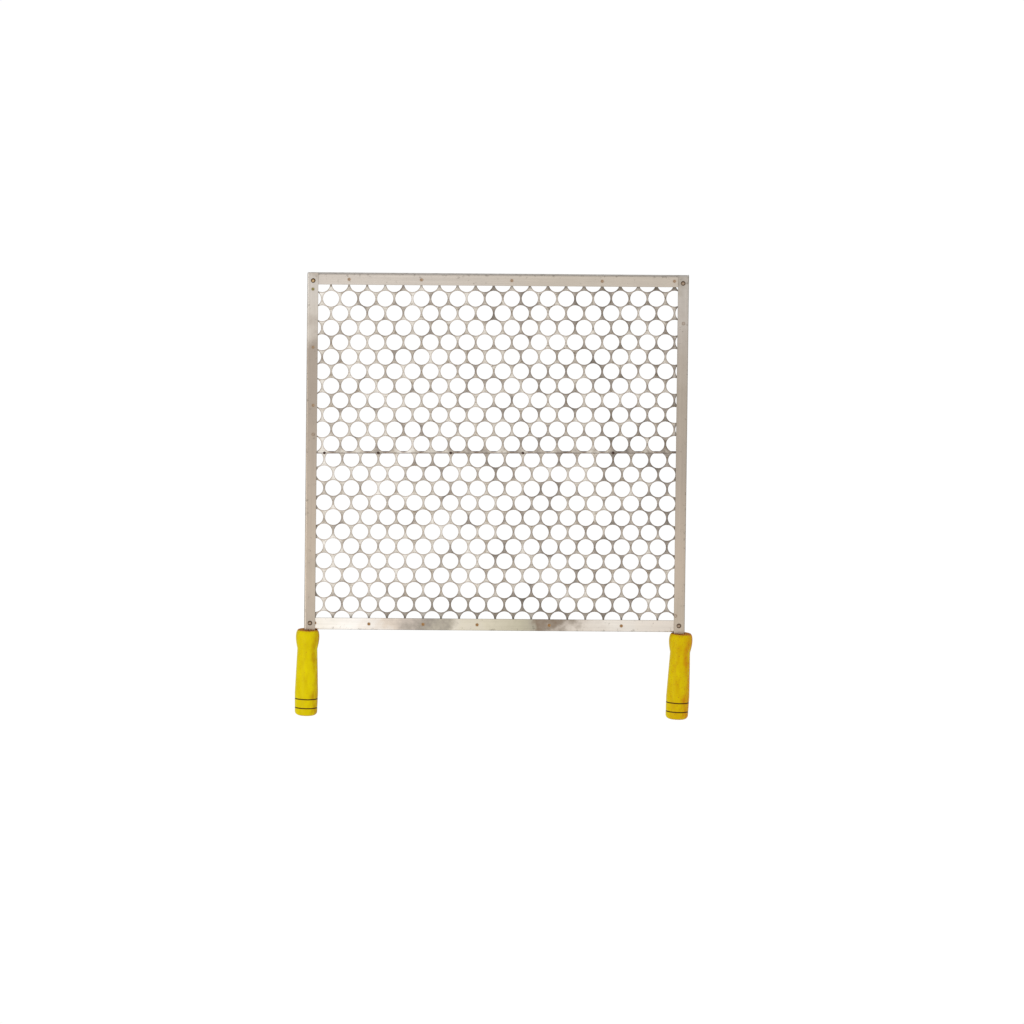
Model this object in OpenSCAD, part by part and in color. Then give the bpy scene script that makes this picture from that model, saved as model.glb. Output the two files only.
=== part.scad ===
// Barbecue grill grate. Two sheets of coin-blank scrap are spot-welded under a frame of
// folded angle, and the side rails run on as tangs into two turned wooden grips.
// The grate lies flat: X runs across it, Y from the grips to the back rail, and Z is up.

/* [Frame] */
// Width over the two side rails
frame_w = 498.8; // [420:0.2:600]
// Depth over the front and back rails
frame_d = 472.6; // [400:0.2:560]
// Lean of the side rails, their back ends to the right, in degrees
frame_lean = 0.19; // [-0.4:0.01:0.4]
// How far the left rail runs on past the back rail
left_overrun = 1.5; // [0:0.1:5]
// How far the right rail runs on past the back rail
right_overrun = 0.4; // [0:0.1:5]
// Width of the side rails' flange
side_flange = 14.4; // [14:0.1:15]
// Width of the back rail's flange
back_flange = 14.2; // [13.5:0.1:15]
// Width of the front rail's flange
front_flange = 15.9; // [14.5:0.1:16.5]
// Height of the rails
rail_h = 14; // [13:0.5:20]
// Thickness of the folded metal
metal_t = 1.2; // [1:0.1:1.4]
// Outside radius of the folds
fold_r = 2; // [1.6:0.1:2.4]

/* [Sheets] */
// Thickness of the perforated sheets
sheet_t = 1.5; // [1:0.1:2]
// Diameter of the punched holes
hole_d = 21.4; // [19.6:0.1:21.6]
// Distance between holes along a row
hole_pitch = 23.63; // [23.2:0.01:24.2]
// Distance between rows in the back sheet
back_row_step = 19.27; // [19:0.01:20]
// Distance between rows in the front sheet
front_row_step = 19.32; // [19:0.01:20]
// Turn of the back sheet in the frame, in degrees
back_turn = 0.45; // [0:0.05:0.6]
// Turn of the front sheet in the frame, in degrees
front_turn = 0.22; // [0:0.01:0.5]
// Height of the bar under the seam
seam_bar_h = 8.5; // [5:0.5:9]
// Thickness of the bar under the seam
seam_bar_t = 1.8; // [1:0.1:2]

/* [Joints] */
// Diameter of the corner rivets' shanks
rivet_d = 3.2; // [2.5:0.1:3.4]
// Diameter of the corner rivets' heads
rivet_head_d = 6.2; // [5.5:0.1:7]
// Diameter of a spot weld
weld_d = 3.4; // [2.6:0.1:3.4]
// Depth of the dimple that the electrode leaves
weld_dimple = 0.25; // [0.1:0.05:0.4]
// Diameter of a tack weld on the seam
tack_d = 3.8; // [3:0.1:5.4]

/* [Grips] */
// Length of the wooden grips
grip_l = 113.5; // [100:0.5:140]
// Diameter of the grips' rounded collar
collar_d = 30.8; // [27:0.2:34]
// Diameter of the grips' neck
neck_d = 26.2; // [23:0.2:27]
// Diameter of the grips' barrel
barrel_d = 30.4; // [26:0.2:33]
// Bare tang between the front rail and the left grip
left_gap = 0.6; // [0.5:0.1:10]
// Bare tang between the front rail and the right grip
right_gap = 1.8; // [0.5:0.1:10]
// Outward splay of the left grip from its rail, in degrees
left_splay = 0.7; // [-2.5:0.1:2.5]
// Outward splay of the right grip from its rail, in degrees
right_splay = -2.3; // [-2.5:0.1:2.5]
// How far the left grip is bored off centre
left_offset = 2.3; // [0:0.1:3]
// How far the right grip is bored off centre
right_offset = 2.7; // [0:0.1:3]

/* [Hidden] */
fine = 64;
fit_gap = 0.3;

// How far the frame's sides lie to the right of square at a depth y, and a point moved so
function lean_at(y) = y * tan(frame_lean);
function leant(p) = [p.x + lean_at(p.y), p.y];

// Heights below the top of the side flanges
rail_z = -metal_t;
sheet_z = -2 * metal_t - sheet_t;

// Sheets: the outline reaches under the flanges, clear of the folds and the rivets
sheet_half_w = frame_w / 2 - 4.5;
sheet_back = frame_d / 2 - 4;
sheet_front = frame_d / 2 - 5;
seam_y = 0.2;
seam_slit = 0.2;
back_seam_trim = 1.5;
front_seam_trim = 7;
back_first_row = 11.9;
front_first_row = 8.8;
back_phase = -3.3;
front_phase = -0.7;
columns = ceil(frame_w / 2 / hole_pitch) + 1;
back_rows = ceil((sheet_back - back_first_row) / back_row_step);
front_rows = ceil((sheet_front - front_first_row) / front_row_step);

// Corner rivets
rivet_x = frame_w / 2 - 7.6;
rivet_y = frame_d / 2 - 8.8;
rivet_head_h = 1.6;
rivet_tail_d = 4.6;
rivet_tail_h = 1.2;
snip = rivet_x + rivet_y - (rivet_tail_d / 2 + fit_gap) * sqrt(2);

// Welds: where they sit along each rail, as a share of half its length
back_weld_at = [-0.77, -0.4, 0.07, 0.54, 0.93];
front_weld_at = [-0.94, -0.64, -0.37, -0.08, 0.29, 0.67, 0.94];
left_weld_at = [0.91, 0.58, 0.26, -0.16, -0.48, -0.81];
right_weld_at = [0.74, 0.42, 0.08, -0.32, -0.73];
tack_at = [-0.9, -0.62, -0.235, 0.14, 0.6];
weld_r = weld_d / 2;
weld_margin = 0.25;
tack_h = 1;

// Grips: the bore takes the tang, which is dressed a little narrower than the rail, and its
// axis lies at the middle of the tang's height
tang_h = 8;
tang_l = 62;
tang_inset = 0.4;
bore_r = 8;
bore_l = 70;
grip_z = -tang_h / 2;
tang_x = frame_w / 2 - side_flange / 2;
lip = 1.4;
mouth_r = 13.6;
collar_at = 9.5;
neck_at = 25;
barrel_at = 84;
tip_r = 14.7;
tip_round = 5;
band_at = [91, 103];
band_w = 1.3;
band_depth = 0.35;

function mix(a, b, t) = a + (b - a) * t;
function barrel_r(s) =
    mix(barrel_d / 2, tip_r, max(0, (s - barrel_at) / (grip_l - tip_round - barrel_at)));
function band(s) = [
    [barrel_r(s), s - band_w / 2],
    [barrel_r(s) - band_depth, s - band_w / 4],
    [barrel_r(s) - band_depth, s + band_w / 4],
    [barrel_r(s), s + band_w / 2]
];
grip_outline = concat(
    [[0, 0]],
    [for (a = [0 : 15 : 90]) [mouth_r - lip + lip * sin(a), lip - lip * cos(a)]],
    [for (a = [15 : 15 : 90])
        [mix(mouth_r, collar_d / 2, sin(a)), mix(collar_at, lip, cos(a))]],
    [for (a = [10 : 10 : 90])
        [mix(neck_d / 2, collar_d / 2, cos(a)), mix(collar_at, neck_at, a / 90)]],
    [[barrel_d / 2, barrel_at]],
    band(band_at[0]),
    band(band_at[1]),
    [for (a = [0 : 15 : 90])
        [tip_r - tip_round + tip_round * cos(a), grip_l - tip_round + tip_round * sin(a)]],
    [[0, grip_l]]
);

// Reach of a splayed grip from the middle of its mouth, outwards and forwards
function reach_x(splay) = max([for (p = grip_outline) p.y * sin(splay) + p.x * cos(splay)]);
function reach_y(splay) =
    max([for (p = grip_outline) p.y * cos(splay) + p.x * abs(sin(splay))]);

// Reach of a whole side: the middle of the tang where it leaves the front rail, then the grip
function tang_reach(side) = frame_w / 2
    - side_flange / 2 * cos(frame_lean) - side * frame_d / 2 * sin(frame_lean);
function side_reach(side, lean, gap, offset) =
    tang_reach(side) + gap * sin(lean) + offset * cos(lean) + reach_x(lean);
function side_front(side, lean, gap, offset) =
    frame_d / 2 * cos(frame_lean) - side * side_flange / 2 * sin(frame_lean)
    + gap * cos(lean) - offset * sin(lean) + reach_y(lean);

// The origin is at the bottom centre of the whole grate's box
left_lean = left_splay + frame_lean;
right_lean = right_splay - frame_lean;
left_reach = side_reach(-1, left_lean, left_gap, left_offset);
right_reach = side_reach(1, right_lean, right_gap, right_offset);
front_reach = max(side_front(-1, left_lean, left_gap, left_offset),
    side_front(1, right_lean, right_gap, right_offset));
origin_x = (right_reach - left_reach) / 2;
origin_y = (max(left_overrun, right_overrun) - front_reach + frame_d / 2) / 2;
origin_z = grip_z - collar_d / 2;

// Hole centres and web nodes of a sheet, in its own axes before it is turned. A web node
// is the three-cornered patch of metal between neighbouring holes.
function shift(row) = (row % 2) / 2;
function hole_grid(first, step, rows, phase) =
    [for (row = [0 : rows - 1]) for (i = [-columns : columns])
        [phase + hole_pitch * (i + shift(row)), first + step * row]];
function node_rise(step) = (step - pow(hole_pitch / 2, 2) / step) / 2;
function node_grid(first, step, rows, phase) =
    [for (row = [0 : rows - 2]) for (i = [-columns : columns]) for (down = [0, 1])
        [phase + hole_pitch * (i + shift(row + 1 - down)),
         first + step * (row + down) + node_rise(step) * (1 - 2 * down)]];
function turned(p, turn) =
    [p.x * cos(turn) - p.y * sin(turn), seam_y + p.x * sin(turn) + p.y * cos(turn)];
function back_place(p) = turned(p, back_turn);
function front_place(p) = turned([p.x, -p.y], front_turn);
function seam_at(x) = seam_y + x * tan(back_turn);

web_nodes = concat(
    [for (p = node_grid(back_first_row, back_row_step, back_rows, back_phase)) back_place(p)],
    [for (p = node_grid(front_first_row, front_row_step, front_rows, front_phase))
        front_place(p)]
);

// A side rail's spot weld sits on the web node under its flange that is nearest to a height y
side_weld_in = frame_w / 2 - side_flange + weld_r + weld_margin;
side_weld_out = sheet_half_w - weld_r - weld_margin;
function under_flange(side) =
    [for (p = web_nodes) let (out = side * (p.x - lean_at(p.y)))
        if (out > side_weld_in && out < side_weld_out) p];
function nearest(list, y) =
    let (best = min([for (p = list) abs(p.y - y)]))
    [for (p = list) if (abs(p.y - y) == best) p][0];
// A back or front rail's spot weld sits between two holes of the last row, at the middle of
// the flange or as near to it as the holes and the snipped corner let it
function clear_of_holes(row_y) = row_y
    + sqrt(max(0, pow(hole_d / 2, 2) - pow(hole_pitch / 2 - weld_r - weld_margin, 2)));
function clear_of_snip(x) = snip - (weld_r + weld_margin) * sqrt(2) - abs(x);
function between_holes(phase, row, x) =
    phase + hole_pitch * (round((x - phase) / hole_pitch - shift(row + 1)) + shift(row + 1));
function back_weld(share) =
    let (u = between_holes(back_phase, back_rows - 1, share * frame_w / 2),
         p = back_place([u, back_first_row + back_row_step * (back_rows - 1)]))
    [p.x, min(max(frame_d / 2 - back_flange / 2, clear_of_holes(p.y)),
        clear_of_snip(p.x - lean_at(frame_d / 2)))];
function front_weld(share) =
    let (u = between_holes(front_phase, front_rows - 1, share * frame_w / 2),
         p = front_place([u, front_first_row + front_row_step * (front_rows - 1)]))
    [p.x, -min(max(frame_d / 2 - front_flange / 2, clear_of_holes(-p.y)),
        clear_of_snip(p.x + lean_at(frame_d / 2)))];
function tack(share) =
    let (x = between_holes(front_phase, 0, share * frame_w / 2)) [x, seam_at(x)];

back_welds = [for (share = back_weld_at) back_weld(share)];
front_welds = [for (share = front_weld_at) front_weld(share)];
left_welds = [for (share = left_weld_at) nearest(under_flange(-1), share * frame_d / 2)];
right_welds = [for (share = right_weld_at) nearest(under_flange(1), share * frame_d / 2)];
tacks = [for (share = tack_at) tack(share)];

function numbered(name, list) = [for (i = [1 : len(list)]) str(name, "_", i)];
back_weld_names = numbered("back_rail_weld", back_welds);
front_weld_names = numbered("front_rail_weld", front_welds);
left_weld_names = numbered("left_rail_weld", left_welds);
right_weld_names = numbered("right_rail_weld", right_welds);
tack_names = numbered("seam_tack", tacks);

// Places a shape of the frame so that the origin is at the bottom centre of the box
module placed() {
    translate([-origin_x, -origin_y, -origin_z]) children();
}

// Draws a shape of the left side, leant as its rail is, or mirrors it for the right side
module on_side(side) {
    mirror([side > 0 ? 1 : 0, 0, 0]) translate([-frame_w / 2, 0, 0])
        rotate([0, 0, side * frame_lean]) translate([frame_w / 2, 0, 0]) children();
}

// Section of a folded angle: the outer face at x = 0 and the top at y = 0
module angle_section(flange, height) {
    translate([fold_r, -metal_t]) square([flange - fold_r, metal_t]);
    translate([0, -height]) square([metal_t, height - fold_r]);
    translate([fold_r, -fold_r]) intersection() {
        difference() {
            circle(r = fold_r, $fn = fine);
            circle(r = fold_r - metal_t, $fn = fine);
        }
        translate([-fold_r, 0]) square(fold_r);
    }
}

// A length of angle that starts at y = 0 and runs towards the front
module angle(flange, height, length) {
    rotate([90, 0, 0]) linear_extrude(length) angle_section(flange, height);
}

// The frame of a tang and its grip: the middle of the tang where it leaves the front rail
module at_tang(splay) {
    translate([-tang_x, -frame_d / 2, 0]) rotate([0, 0, -splay]) children();
}

// Bores at a list of points, right through the flanges and the sheets
module bores(points, r) {
    for (p = points) translate([p.x, p.y, sheet_z - 1]) cylinder(h = 8, r = r, $fn = fine);
}

module rivet_bores() {
    corners = [for (x = [-1, 1]) for (y = [-1, 1]) leant([x * rivet_x, y * rivet_y])];
    bores(corners, rivet_d / 2 + 0.05);
}

// One side rail, with its tang: drawn on the left and mirrored for the right
module side_rail(side, splay, gap, overrun, dressed, welds) {
    back_end = frame_d / 2 + overrun;
    color("#bdb3a8") placed() difference() {
        on_side(side) difference() {
            union() {
                translate([-frame_w / 2, back_end, 0])
                    angle(side_flange, rail_h, frame_d + overrun);
                at_tang(splay) translate([tang_inset - side_flange / 2, 1, 0])
                    angle(side_flange - 2 * tang_inset, tang_h, 1 + gap + tang_l);
            }
            translate([-frame_w / 2, back_end, -rail_h - 1]) rotate([0, 0, 45])
                cube([dressed * sqrt(2), dressed * sqrt(2), 3 * rail_h], center = true);
        }
        rivet_bores();
        bores(welds, weld_r);
    }
}

// The back rail as drawn: its wall at the back, its flange under the side flanges
module cross_rail(flange) {
    length = frame_w - 2 * metal_t - 2 * fit_gap;
    translate([-length / 2, frame_d / 2, rail_z]) rotate([0, 0, -90]) rotate([90, 0, 0])
        mirror([0, 0, 1]) linear_extrude(length) angle_section(flange, rail_h + rail_z);
}

module back_rail() {
    color("#c5bbae") placed() difference() {
        translate([lean_at(frame_d / 2), 0, 0]) cross_rail(back_flange);
        rivet_bores();
        bores(back_welds, weld_r);
    }
}

module front_rail() {
    color("#d2c9bd") placed() difference() {
        translate([-lean_at(frame_d / 2), 0, 0]) mirror([0, 1, 0]) cross_rail(front_flange);
        rivet_bores();
        bores(front_welds, weld_r);
    }
}

// Outline of a sheet in the frame: the seam edge with its corners trimmed, then the outer
// corners, which are snipped clear of the rivets
module sheet_outline(far, side, slit, trim) {
    corners = [
        [-sheet_half_w, seam_at(-sheet_half_w) - slit + side * trim],
        [trim - sheet_half_w, seam_at(trim - sheet_half_w) - slit],
        [sheet_half_w - trim, seam_at(sheet_half_w - trim) - slit],
        [sheet_half_w, seam_at(sheet_half_w) - slit + side * trim],
        [sheet_half_w, side * (snip - sheet_half_w)],
        [snip - far, side * far],
        [far - snip, side * far],
        [-sheet_half_w, side * (snip - sheet_half_w)]
    ];
    polygon([for (p = corners) leant(p)]);
}

module grid_sheet(far, side, slit, trim, holes, welds) {
    placed() translate([0, 0, sheet_z]) linear_extrude(sheet_t) difference() {
        sheet_outline(far, side, slit, trim);
        for (p = holes) translate(p) circle(d = hole_d, $fn = fine);
        for (p = welds) translate(p) circle(r = weld_r, $fn = fine);
    }
}

module back_grid_sheet() {
    grid = hole_grid(back_first_row, back_row_step, back_rows, back_phase);
    color("#a79e94") grid_sheet(sheet_back, 1, 0, back_seam_trim,
        [for (p = grid) back_place(p)],
        concat(back_welds, upper(left_welds), upper(right_welds)));
}

module front_grid_sheet() {
    grid = hole_grid(front_first_row, front_row_step, front_rows, front_phase);
    color("#a0978d") grid_sheet(sheet_front, -1, seam_slit, front_seam_trim,
        [for (p = grid) front_place(p)],
        concat(front_welds, lower(left_welds), lower(right_welds)));
}

// Welds on the back sheet's side of the seam, and on the front sheet's
function upper(list) = [for (p = list) if (p.y > seam_at(p.x)) p];
function lower(list) = [for (p = list) if (p.y < seam_at(p.x)) p];

module seam_bar() {
    length = frame_w - 2 * metal_t - 2 * fit_gap;
    color("#6f665c") placed() translate([0, seam_y - seam_slit / 2, sheet_z - seam_bar_h / 2])
        rotate([0, 0, back_turn]) cube([length, seam_bar_t, seam_bar_h], center = true);
}

// A corner rivet: a domed head, a shank through both flanges and a clinched tail
module rivet(x, y) {
    dome_r = (pow(rivet_head_d / 2, 2) + pow(rivet_head_h, 2)) / (2 * rivet_head_h);
    color("#b9aea2") placed() translate(leant([x * rivet_x, y * rivet_y])) union() {
        intersection() {
            translate([0, 0, rivet_head_h - dome_r]) sphere(r = dome_r, $fn = fine);
            cylinder(h = rivet_head_h + 1, d = rivet_head_d, $fn = fine);
        }
        translate([0, 0, -2 * metal_t]) cylinder(h = 2 * metal_t, d = rivet_d, $fn = fine);
        translate([0, 0, -2 * metal_t - rivet_tail_h])
            cylinder(h = rivet_tail_h, d = rivet_tail_d, $fn = fine);
    }
}

// A spot weld's nugget, from the dimple in a flange whose top is at a height down through
// the sheet
module spot_weld(p, top) {
    z = top - weld_dimple;
    color("#8a6b4d") placed() translate([p.x, p.y, sheet_z])
        cylinder(h = z - sheet_z, r = weld_r, $fn = fine);
}

// A tack weld: a low bead across the seam
module seam_tack(p) {
    bead_r = (pow(tack_d / 2, 2) + pow(tack_h, 2)) / (2 * tack_h);
    color("#6b4630") placed() translate([p.x, p.y, -2 * metal_t]) intersection() {
        translate([0, 0, tack_h - bead_r]) sphere(r = bead_r, $fn = fine);
        cylinder(h = tack_h + 1, d = tack_d, $fn = fine);
    }
}

// One turned grip, bored for the tang: drawn on the left and mirrored for the right
module grip(side, splay, gap, offset) {
    color("#d9c600") placed() on_side(side) at_tang(splay) translate([0, -gap, grip_z])
        rotate([90, 0, 0]) difference() {
            translate([-offset, 0, 0]) rotate_extrude($fn = fine) polygon(grip_outline);
            translate([0, 0, -1]) cylinder(h = bore_l + 1, r = bore_r, $fn = fine);
        }
}

module left_side_rail() {
    side_rail(-1, left_splay, left_gap, left_overrun, 2.4, left_welds);
}
module right_side_rail() {
    side_rail(1, right_splay, right_gap, right_overrun, 0.4, right_welds);
}
module back_left_rivet() { rivet(-1, 1); }
module back_right_rivet() { rivet(1, 1); }
module front_left_rivet() { rivet(-1, -1); }
module front_right_rivet() { rivet(1, -1); }
module left_grip() { grip(-1, left_splay, left_gap, left_offset); }
module right_grip() { grip(1, right_splay, right_gap, right_offset); }

left_side_rail();
right_side_rail();
back_rail();
front_rail();
back_grid_sheet();
front_grid_sheet();
seam_bar();
back_left_rivet();
back_right_rivet();
front_left_rivet();
front_right_rivet();
left_grip();
right_grip();
for (i = [0 : len(back_welds) - 1])
    spot_weld(back_welds[i], rail_z);
for (i = [0 : len(front_welds) - 1])
    spot_weld(front_welds[i], rail_z);
for (i = [0 : len(left_welds) - 1])
    spot_weld(left_welds[i], 0);
for (i = [0 : len(right_welds) - 1])
    spot_weld(right_welds[i], 0);
for (i = [0 : len(tacks) - 1])
    seam_tack(tacks[i]);
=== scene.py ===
"""Looks for a barbecue grill grate: two sheets of coin-blank scrap in a welded angle frame.

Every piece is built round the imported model. Sizes below are in millimetres, in the frame's
own axes: X across the grate, Y from the grips to the back rail, and Z up from the top of
the side rails' flanges.
"""

import logging
import math
import random
from collections.abc import Callable, Iterable, Sequence
from dataclasses import dataclass, field
from enum import Enum

import bmesh
import bpy
from mathutils import Matrix, Vector, noise


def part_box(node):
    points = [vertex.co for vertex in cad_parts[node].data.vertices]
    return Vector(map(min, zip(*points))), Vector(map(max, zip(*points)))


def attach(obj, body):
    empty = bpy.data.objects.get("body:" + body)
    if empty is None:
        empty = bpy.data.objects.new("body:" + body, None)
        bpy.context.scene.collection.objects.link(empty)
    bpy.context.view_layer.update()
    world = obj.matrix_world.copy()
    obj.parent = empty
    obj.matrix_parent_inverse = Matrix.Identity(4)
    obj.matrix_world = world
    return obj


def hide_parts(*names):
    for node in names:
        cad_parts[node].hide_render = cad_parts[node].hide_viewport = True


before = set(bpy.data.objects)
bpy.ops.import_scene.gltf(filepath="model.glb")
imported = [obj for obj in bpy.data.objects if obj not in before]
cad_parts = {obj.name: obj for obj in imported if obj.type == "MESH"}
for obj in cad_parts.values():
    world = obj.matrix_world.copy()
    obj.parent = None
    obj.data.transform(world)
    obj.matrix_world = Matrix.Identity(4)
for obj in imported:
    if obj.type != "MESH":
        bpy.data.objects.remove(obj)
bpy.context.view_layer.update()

LOG = logging.getLogger("grill_grate")
MM = 0.001
BODY = "root"

Colour = tuple[float, float, float, float]
Pair = tuple[float, float]
Stops = tuple[tuple[float, str], ...]
Profile = list[Pair]


class Side(Enum):
    """Which side of the grate a piece is on, as the sign of X."""

    LEFT = -1
    RIGHT = 1


class End(Enum):
    """Which end of the grate a piece is at, as the sign of Y."""

    FRONT = -1
    BACK = 1


class Run(Enum):
    """The axis that a rail runs along."""

    ACROSS = 0
    DEEP = 1


# ---------------------------------------------------------------- shared mesh work


def linear(code: str) -> Colour:
    """Turns an sRGB hex code into a linear colour.

    Args:
        code: The colour, such as "#a1b2c3".

    Returns:
        The linear red, green, blue and an alpha of 1.
    """
    parts = [int(code[i : i + 2], 16) / 255 for i in (1, 3, 5)]
    low = [p / 12.92 if p <= 0.04045 else ((p + 0.055) / 1.055) ** 2.4 for p in parts]
    return (low[0], low[1], low[2], 1.0)


def add_node(
    tree: bpy.types.NodeTree,
    kind: str,
    sockets: dict | None = None,
    stops: Stops = (),
    **settings: object,
) -> bpy.types.Node:
    """Adds one node with its settings, its values and its links.

    Args:
        tree: The node tree that gets the node.
        kind: The node's type name without "ShaderNode".
        sockets: What each input gets, by name or number: a value, an output, or a node,
            whose first output in use is linked.
        stops: The colours of a colour ramp, each with its place from 0 to 1.
        **settings: The node's own properties.

    Returns:
        The new node.
    """
    made = tree.nodes.new("ShaderNode" + kind)
    for name, value in settings.items():
        setattr(made, name, value)
    for i, (place, code) in enumerate(stops):
        marks = made.color_ramp.elements
        mark = marks[i] if i < 2 else marks.new(place)
        mark.position, mark.color = place, linear(code)
    for name, value in (sockets or {}).items():
        if isinstance(value, bpy.types.Node):
            value = next(output for output in value.outputs if output.enabled)
        if isinstance(value, bpy.types.NodeSocket):
            tree.links.new(value, made.inputs[name])
        else:
            made.inputs[name].default_value = value
    return made


def new_material(name: str) -> tuple[bpy.types.Material, bpy.types.NodeTree]:
    """Makes an empty node material.

    Args:
        name: The material's common name.

    Returns:
        The material and its node tree.
    """
    made = bpy.data.materials.new(name)
    made.use_nodes = True
    made.node_tree.nodes.clear()
    return made, made.node_tree


def close_shell(bm: bmesh.types.BMesh, gap: float = 0.002 * MM) -> None:
    """Merges doubled vertices and turns every face outwards.

    Args:
        bm: The mesh.
        gap: How close two vertices are to be merged, in metres.
    """
    bmesh.ops.remove_doubles(bm, verts=bm.verts, dist=gap)
    bmesh.ops.recalc_face_normals(bm, faces=bm.faces)


def only(kind: type, geometry: Iterable) -> list:
    """Picks the vertices, edges or faces out of what an operator gives back."""
    return [item for item in geometry if isinstance(item, kind)]


def round_corners(bm: bmesh.types.BMesh, corners: list, width: float, segments: int) -> None:
    """Rounds corners of a flat section.

    Args:
        bm: The mesh.
        corners: The corners' vertices.
        width: Width of the rounding, in millimetres.
        segments: Number of edges along it.
    """
    bmesh.ops.bevel(
        bm,
        geom=corners,
        offset=width * MM,
        offset_type="OFFSET",
        segments=segments,
        profile=0.5,
        affect="VERTICES",
        material=-1,
    )


def soften_edges(bm: bmesh.types.BMesh, width: float, segments: int = 2) -> None:
    """Rounds every edge sharper than 50 degrees, as deburring does.

    Args:
        bm: The mesh.
        width: Width of the rounding, in millimetres.
        segments: Number of faces across it.
    """
    sharp = [e for e in bm.edges if e.is_manifold and e.calc_face_angle(0) > math.radians(50)]
    bmesh.ops.bevel(
        bm,
        geom=sharp,
        offset=width * MM,
        offset_type="OFFSET",
        segments=segments,
        profile=0.5,
        affect="EDGES",
        clamp_overlap=True,
        material=-1,
    )


def draw_out(bm: bmesh.types.BMesh, move: Vector) -> None:
    """Extrudes a flat section into a closed bar.

    Args:
        bm: The mesh, which holds only the section's face.
        move: Where the far end lies from the section, in millimetres.
    """
    grown = bmesh.ops.extrude_face_region(bm, geom=bm.faces[:], use_keep_orig=True)
    bmesh.ops.translate(bm, verts=only(bmesh.types.BMVert, grown["geom"]), vec=move * MM)
    close_shell(bm)


def spin_profile(profile: Profile, steps: int) -> bmesh.types.BMesh:
    """Turns a profile round the Z axis into a closed shape.

    Args:
        profile: Radius and height of each point, in millimetres.
        steps: Number of faces round the axis.

    Returns:
        The turned shape, in metres.
    """
    bm = bmesh.new()
    line = [bm.verts.new((r * MM, 0, h * MM)) for r, h in profile]
    edges = [bm.edges.new(pair) for pair in zip(line, line[1:])]
    bmesh.ops.spin(
        bm,
        geom=[*line, *edges],
        cent=(0, 0, 0),
        axis=(0, 0, 1),
        angle=math.tau,
        steps=steps,
        use_merge=True,
    )
    close_shell(bm)
    return bm


def keep_vectors(bm: bmesh.types.BMesh, name: str, value: Callable[[Vector], Vector]) -> None:
    """Stores a vector at each vertex, for a finish that follows the shape.

    Args:
        bm: The mesh, before it is put in its place.
        name: The attribute's name.
        value: Gives the vector for a vertex's place.
    """
    layer = bm.verts.layers.float_vector.new(name)
    for vert in bm.verts:
        vert[layer] = value(vert.co)


def shade(bm: bmesh.types.BMesh, crease: float, flat: float = 0.0) -> None:
    """Shades faces smooth and edges crisp.

    Args:
        bm: The mesh.
        crease: Edges sharper than this, in degrees, stay crisp.
        flat: An edge also stays crisp where the smaller of its two faces is less than this
            share of the larger, so that a narrow bevel doesn't shade a wide flat face round.
    """
    for face in bm.faces:
        face.smooth = True
    for edge in bm.edges:
        areas = sorted(face.calc_area() for face in edge.link_faces)
        edge.smooth = (
            len(areas) == 2
            and edge.calc_face_angle(0) < math.radians(crease)
            and areas[0] >= areas[1] * flat
        )


def make_object(
    bm: bmesh.types.BMesh,
    name: str,
    materials: Sequence[bpy.types.Material] = (),
    crease: float = 32,
    flat: float = 0.0,
) -> bpy.types.Object:
    """Turns a mesh under construction into a shaded object.

    Args:
        bm: The mesh, which is freed.
        name: The object's name.
        materials: Its material slots.
        crease: The angle of a crisp edge, as in shade().
        flat: The share of a crisp edge, as in shade().

    Returns:
        The object, at the origin.
    """
    shade(bm, crease, flat)
    mesh = bpy.data.meshes.new(name)
    bm.to_mesh(mesh)
    bm.free()
    for material in materials:
        mesh.materials.append(material)
    made = bpy.data.objects.new(name, mesh)
    bpy.context.scene.collection.objects.link(made)
    return made


def settle(piece: bpy.types.Object, node: str) -> None:
    """Sets a finished piece on the frame in place of its CAD node and reports it.

    Args:
        piece: The finished piece.
        node: The CAD node that it stands for.
    """
    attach(piece, BODY)
    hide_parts(node)
    LOG.info("%s: %d faces, for %s", piece.name, len(piece.data.polygons), node)


def combine(piece: bpy.types.Object, tool: bmesh.types.BMesh, operation: str) -> None:
    """Joins a second shape to a piece or cuts it out of it.

    Args:
        piece: The piece, whose mesh is changed.
        tool: The second shape, which is freed.
        operation: "UNION" or "DIFFERENCE".
    """
    helper = make_object(tool, "combine_tool")
    step = piece.modifiers.new("combine", "BOOLEAN")
    step.object, step.operation, step.solver = helper, operation, "EXACT"
    graph = bpy.context.evaluated_depsgraph_get()
    mesh = bpy.data.meshes.new_from_object(piece.evaluated_get(graph))
    piece.modifiers.clear()
    old, piece.data = piece.data, mesh
    name = old.name
    bpy.data.meshes.remove(old)
    mesh.name = name
    bpy.data.objects.remove(helper)


# ---------------------------------------------------------------- where things are


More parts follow.
